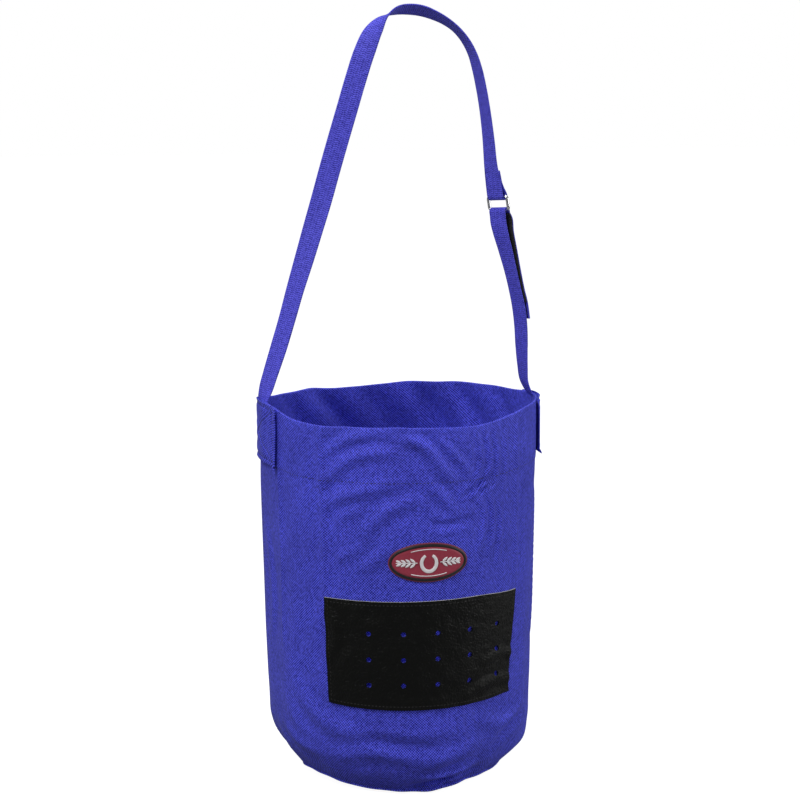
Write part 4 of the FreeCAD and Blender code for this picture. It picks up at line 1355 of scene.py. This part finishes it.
class FEEDBAG_OT_closure(bpy.types.Operator):
    """Adds the ring, the folded tail and its hook and loop tapes"""
    bl_idname = "feedbag.closure"
    bl_label = "Ring and tail"

    def execute(self, context):
        width = look().webbing_width / MM
        thick = look().webbing_thick / MM
        start = [(ring_point(0, -TURN, -TURN_DROP - 8.0), BAR)]
        lower = start + stations(RIGHT_ROUTE[:8])
        loop = square_out(lower[1:8], thick / 2 + 0.6)
        tape = band("loop_fastener", loop, 17.0, 1.1, 90)
        finish_piece(tape, "strap", [material("loop")], ("loop_tape",))

        closed = thick + 2.7
        tail_path = [(ring_point(0, SNUG, -TURN_DROP - 1.5), BAR),
                     (ring_point(0, SNUG + 2.2, -TURN_DROP - 6.0), BAR)]
        tail_path += square_out(lower[:5], (8.8, 7.8, 6.2, closed + 0.6, closed))[1:]
        tip = stations(((117.0, 0, -275.5, -67, 0), (119.6, 0, -292.0, -67, 0)))
        tail_path += square_out(tip, closed)
        tail = band("strap_tail_webbing", tail_path, width - 0.6, thick, 170)
        finish_piece(tail, None, [material("webbing")], ("strap_tail",))
        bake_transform(tail)

        hook_path = square_out(tail_path[0:7], -(thick / 2 + 0.6))
        hook = band("hook_fastener", hook_path, 20.2, 1.2, 110)
        finish_piece(hook, "tail", [material("hook")], ("hook_tape",))

        for name, path, lift, edge, body, nodes in (
                ("loop_fastener_thread", loop, -0.5, 7.2, "strap", ("loop_tape_stitching",)),
                ("hook_fastener_thread", hook_path, 0.5, 8.4, "tail",
                 ("hook_tape_stitching",))):
            centres = np.array([place[0] for place in path])
            along = np.gradient(centres, axis=0)
            places = []
            for index in range(len(path) - 1):
                gap = np.linalg.norm(centres[index + 1] - centres[index])
                count = max(1, int(gap / 3.4))
                for number in range(count):
                    part = (number + 0.5) / count
                    forward = unit(along[index] * (1 - part) + along[index + 1] * part)
                    across = unit(path[index][1] * (1 - part) + path[index + 1][1] * part)
                    across = unit(across - forward * across.dot(forward))
                    face = np.cross(forward, across)
                    spot = centres[index] * (1 - part) + centres[index + 1] * part
                    for side in (-edge, edge):
                        here = spot + across * side + face * lift
                        places.append((here * MM, forward, face * np.sign(lift)))
            thread = stitches(name, places, 2.4, 0.5)
            finish_piece(thread, body, [material("black_thread")], nodes)

        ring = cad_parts["ring"]
        if not ring.material_slots:
            ring.data.materials.append(material("wire"))
        for material_slot in ring.material_slots:
            material_slot.material = material("wire")
        return {"FINISHED"}


class FEEDBAG_OT_seams(bpy.types.Operator):
    """Stitches the hem, the side seams and the base seam"""
    bl_idname = "feedbag.seams"
    bl_label = "Seams"

    def execute(self, context):
        blue = [material("navy_thread")]
        hem = seam_places([(-180, 53.4), (-60, 53.4), (60, 53.4), (180, 53.4)], 3.5, 0.02)
        finish_piece(stitches("hem_thread", hem, 2.8, 0.9), "bag", blue,
                     ("hem_stitching",))
        sides = []
        for turn in (-93.5, 86.5):
            sides += seam_places([(turn, 64), (turn, 330)], 3.6, 0.02)
        finish_piece(stitches("side_seam_thread", sides, 2.5, 0.6), "bag",
                     blue, ("side_seam_stitching",))
        foot = seam_places([(-180, 353.5), (-60, 353.5), (60, 353.5), (180, 353.5)], 4.0, 0.0)
        finish_piece(stitches("base_seam_thread", foot, 2.6, 0.6), "bag",
                     blue, ("base_seam_stitching",))
        return {"FINISHED"}


# ------------------------------------------------------------------ stage
FLOOR = -0.7275


class FEEDBAG_OT_stage(bpy.types.Operator):
    """Lays a pale floor, soft lights and the camera"""
    bl_idname = "feedbag.stage"
    bl_label = "Stage"

    def execute(self, context):
        scene = context.scene
        clear_selection()
        bpy.ops.mesh.primitive_plane_add(size=2.0)
        floor = context.object
        floor.name = "studio_floor"
        floor.data.transform(Matrix.Translation((0, 0, FLOOR))
                             @ Matrix.Diagonal((9.0, 9.0, 1.0, 1.0)))
        paper, tree, shader, place = new_material("studio_paper")
        grain = add(tree, "ShaderNodeTexNoise", {"Scale": 40.0, "Vector": place})
        pulp = add(tree, "ShaderNodeMix", {0: grain.outputs[0], 6: colour("#8A8A8A"),
                                           7: colour("#929292")}, data_type="RGBA")
        tree.links.new(pulp.outputs[2], shader.inputs["Base Color"])
        shader.inputs["Roughness"].default_value = 0.9
        shader.inputs["Specular IOR Level"].default_value = 0.1
        shader.inputs["Emission Color"].default_value = (1.0, 1.0, 1.0, 1.0)
        seen = add(tree, "ShaderNodeLightPath")
        glow = add(tree, "ShaderNodeMath", {0: seen.outputs[0], 1: 0.95},
                   operation="MULTIPLY")
        tree.links.new(glow.outputs[0], shader.inputs["Emission Strength"])
        floor.data.materials.append(paper)

        world = bpy.data.worlds.new("studio_world")
        world.use_nodes = True
        background = world.node_tree.nodes["Background"]
        background.inputs[0].default_value = (1.0, 1.0, 1.0, 1.0)
        # the white backdrop is only looked at; the soft room light is much dimmer
        seen = add(world.node_tree, "ShaderNodeLightPath")
        bright = add(world.node_tree, "ShaderNodeMapRange",
                     {0: seen.outputs[0], 1: 0.0, 2: 1.0, 3: 0.2, 4: 1.0})
        world.node_tree.links.new(bright.outputs[0], background.inputs[1])
        scene.world = world

        for name, spot, size, power in (
                ("key_light", (-1.4, -1.5, 2.0), 0.9, 51.0),
                ("fill_light", (2.3, -1.0, 0.3), 1.4, 26.0),
                ("side_light", (-2.3, -0.5, 0.7), 1.2, 9.0),
                ("top_light", (0.1, 0.3, 2.0), 1.2, 24.0)):
            lamp = bpy.data.lights.new(name, "AREA")
            lamp.shape = "SQUARE"
            lamp.size = size
            lamp.energy = power
            light = bpy.data.objects.new(name, lamp)
            aim = Vector((0, 0, -0.45)) - Vector(spot)
            light.matrix_world = (Matrix.Translation(spot)
                                  @ aim.to_track_quat("-Z", "Y").to_matrix().to_4x4())
            scene.collection.objects.link(light)

        azimuth, elevation, distance = math.radians(-12), math.radians(10.5), 2.0
        target = Vector((0.001, 0.0, RIM * MM))
        back = Vector((math.sin(azimuth) * math.cos(elevation),
                       -math.cos(azimuth) * math.cos(elevation), math.sin(elevation)))
        lens = bpy.data.cameras.new("studio_camera")
        lens.sensor_width = 36.0
        lens.lens = 36.0 * (distance / (0.96 * MM)) / 800
        camera = bpy.data.objects.new("studio_camera", lens)
        camera.matrix_world = (Matrix.Translation(target + back * distance)
                               @ (-back).to_track_quat("-Z", "Y").to_matrix().to_4x4())
        scene.collection.objects.link(camera)
        scene.camera = camera
        scene.view_settings.view_transform = "Standard"
        scene.view_settings.look = "None"
        return {"FINISHED"}


# ------------------------------------------------------------------ add-on
OPERATORS = (FEEDBAG_OT_cloth, FEEDBAG_OT_base, FEEDBAG_OT_leather, FEEDBAG_OT_badge,
             FEEDBAG_OT_patches, FEEDBAG_OT_straps, FEEDBAG_OT_closure, FEEDBAG_OT_seams,
             FEEDBAG_OT_stage)


class FEEDBAG_PT_panel(bpy.types.Panel):
    """Lists the steps that build the feed bag"""
    bl_idname = "FEEDBAG_PT_panel"
    bl_label = "Feed bag"
    bl_space_type = "VIEW_3D"
    bl_region_type = "UI"
    bl_category = "Feed bag"

    def draw(self, context):
        for field in FeedBagLook.__annotations__:
            self.layout.prop(context.scene.feed_bag_look, field)
        for operator in OPERATORS:
            self.layout.operator(operator.bl_idname)


CLASSES = (FeedBagLook, *OPERATORS, FEEDBAG_PT_panel)


def register():
    for cls in CLASSES:
        bpy.utils.register_class(cls)
    bpy.types.Scene.feed_bag_look = bpy.props.PointerProperty(type=FeedBagLook)


def unregister():
    del bpy.types.Scene.feed_bag_look
    for cls in reversed(CLASSES):
        bpy.utils.unregister_class(cls)


def main():
    register()
    for operator in OPERATORS:
        name = operator.bl_idname.split(".")[1]
        result = getattr(bpy.ops.feedbag, name)()
        if result != {"FINISHED"}:
            raise RuntimeError(operator.bl_label + " did not finish")


if __name__ == "__main__":
    main()
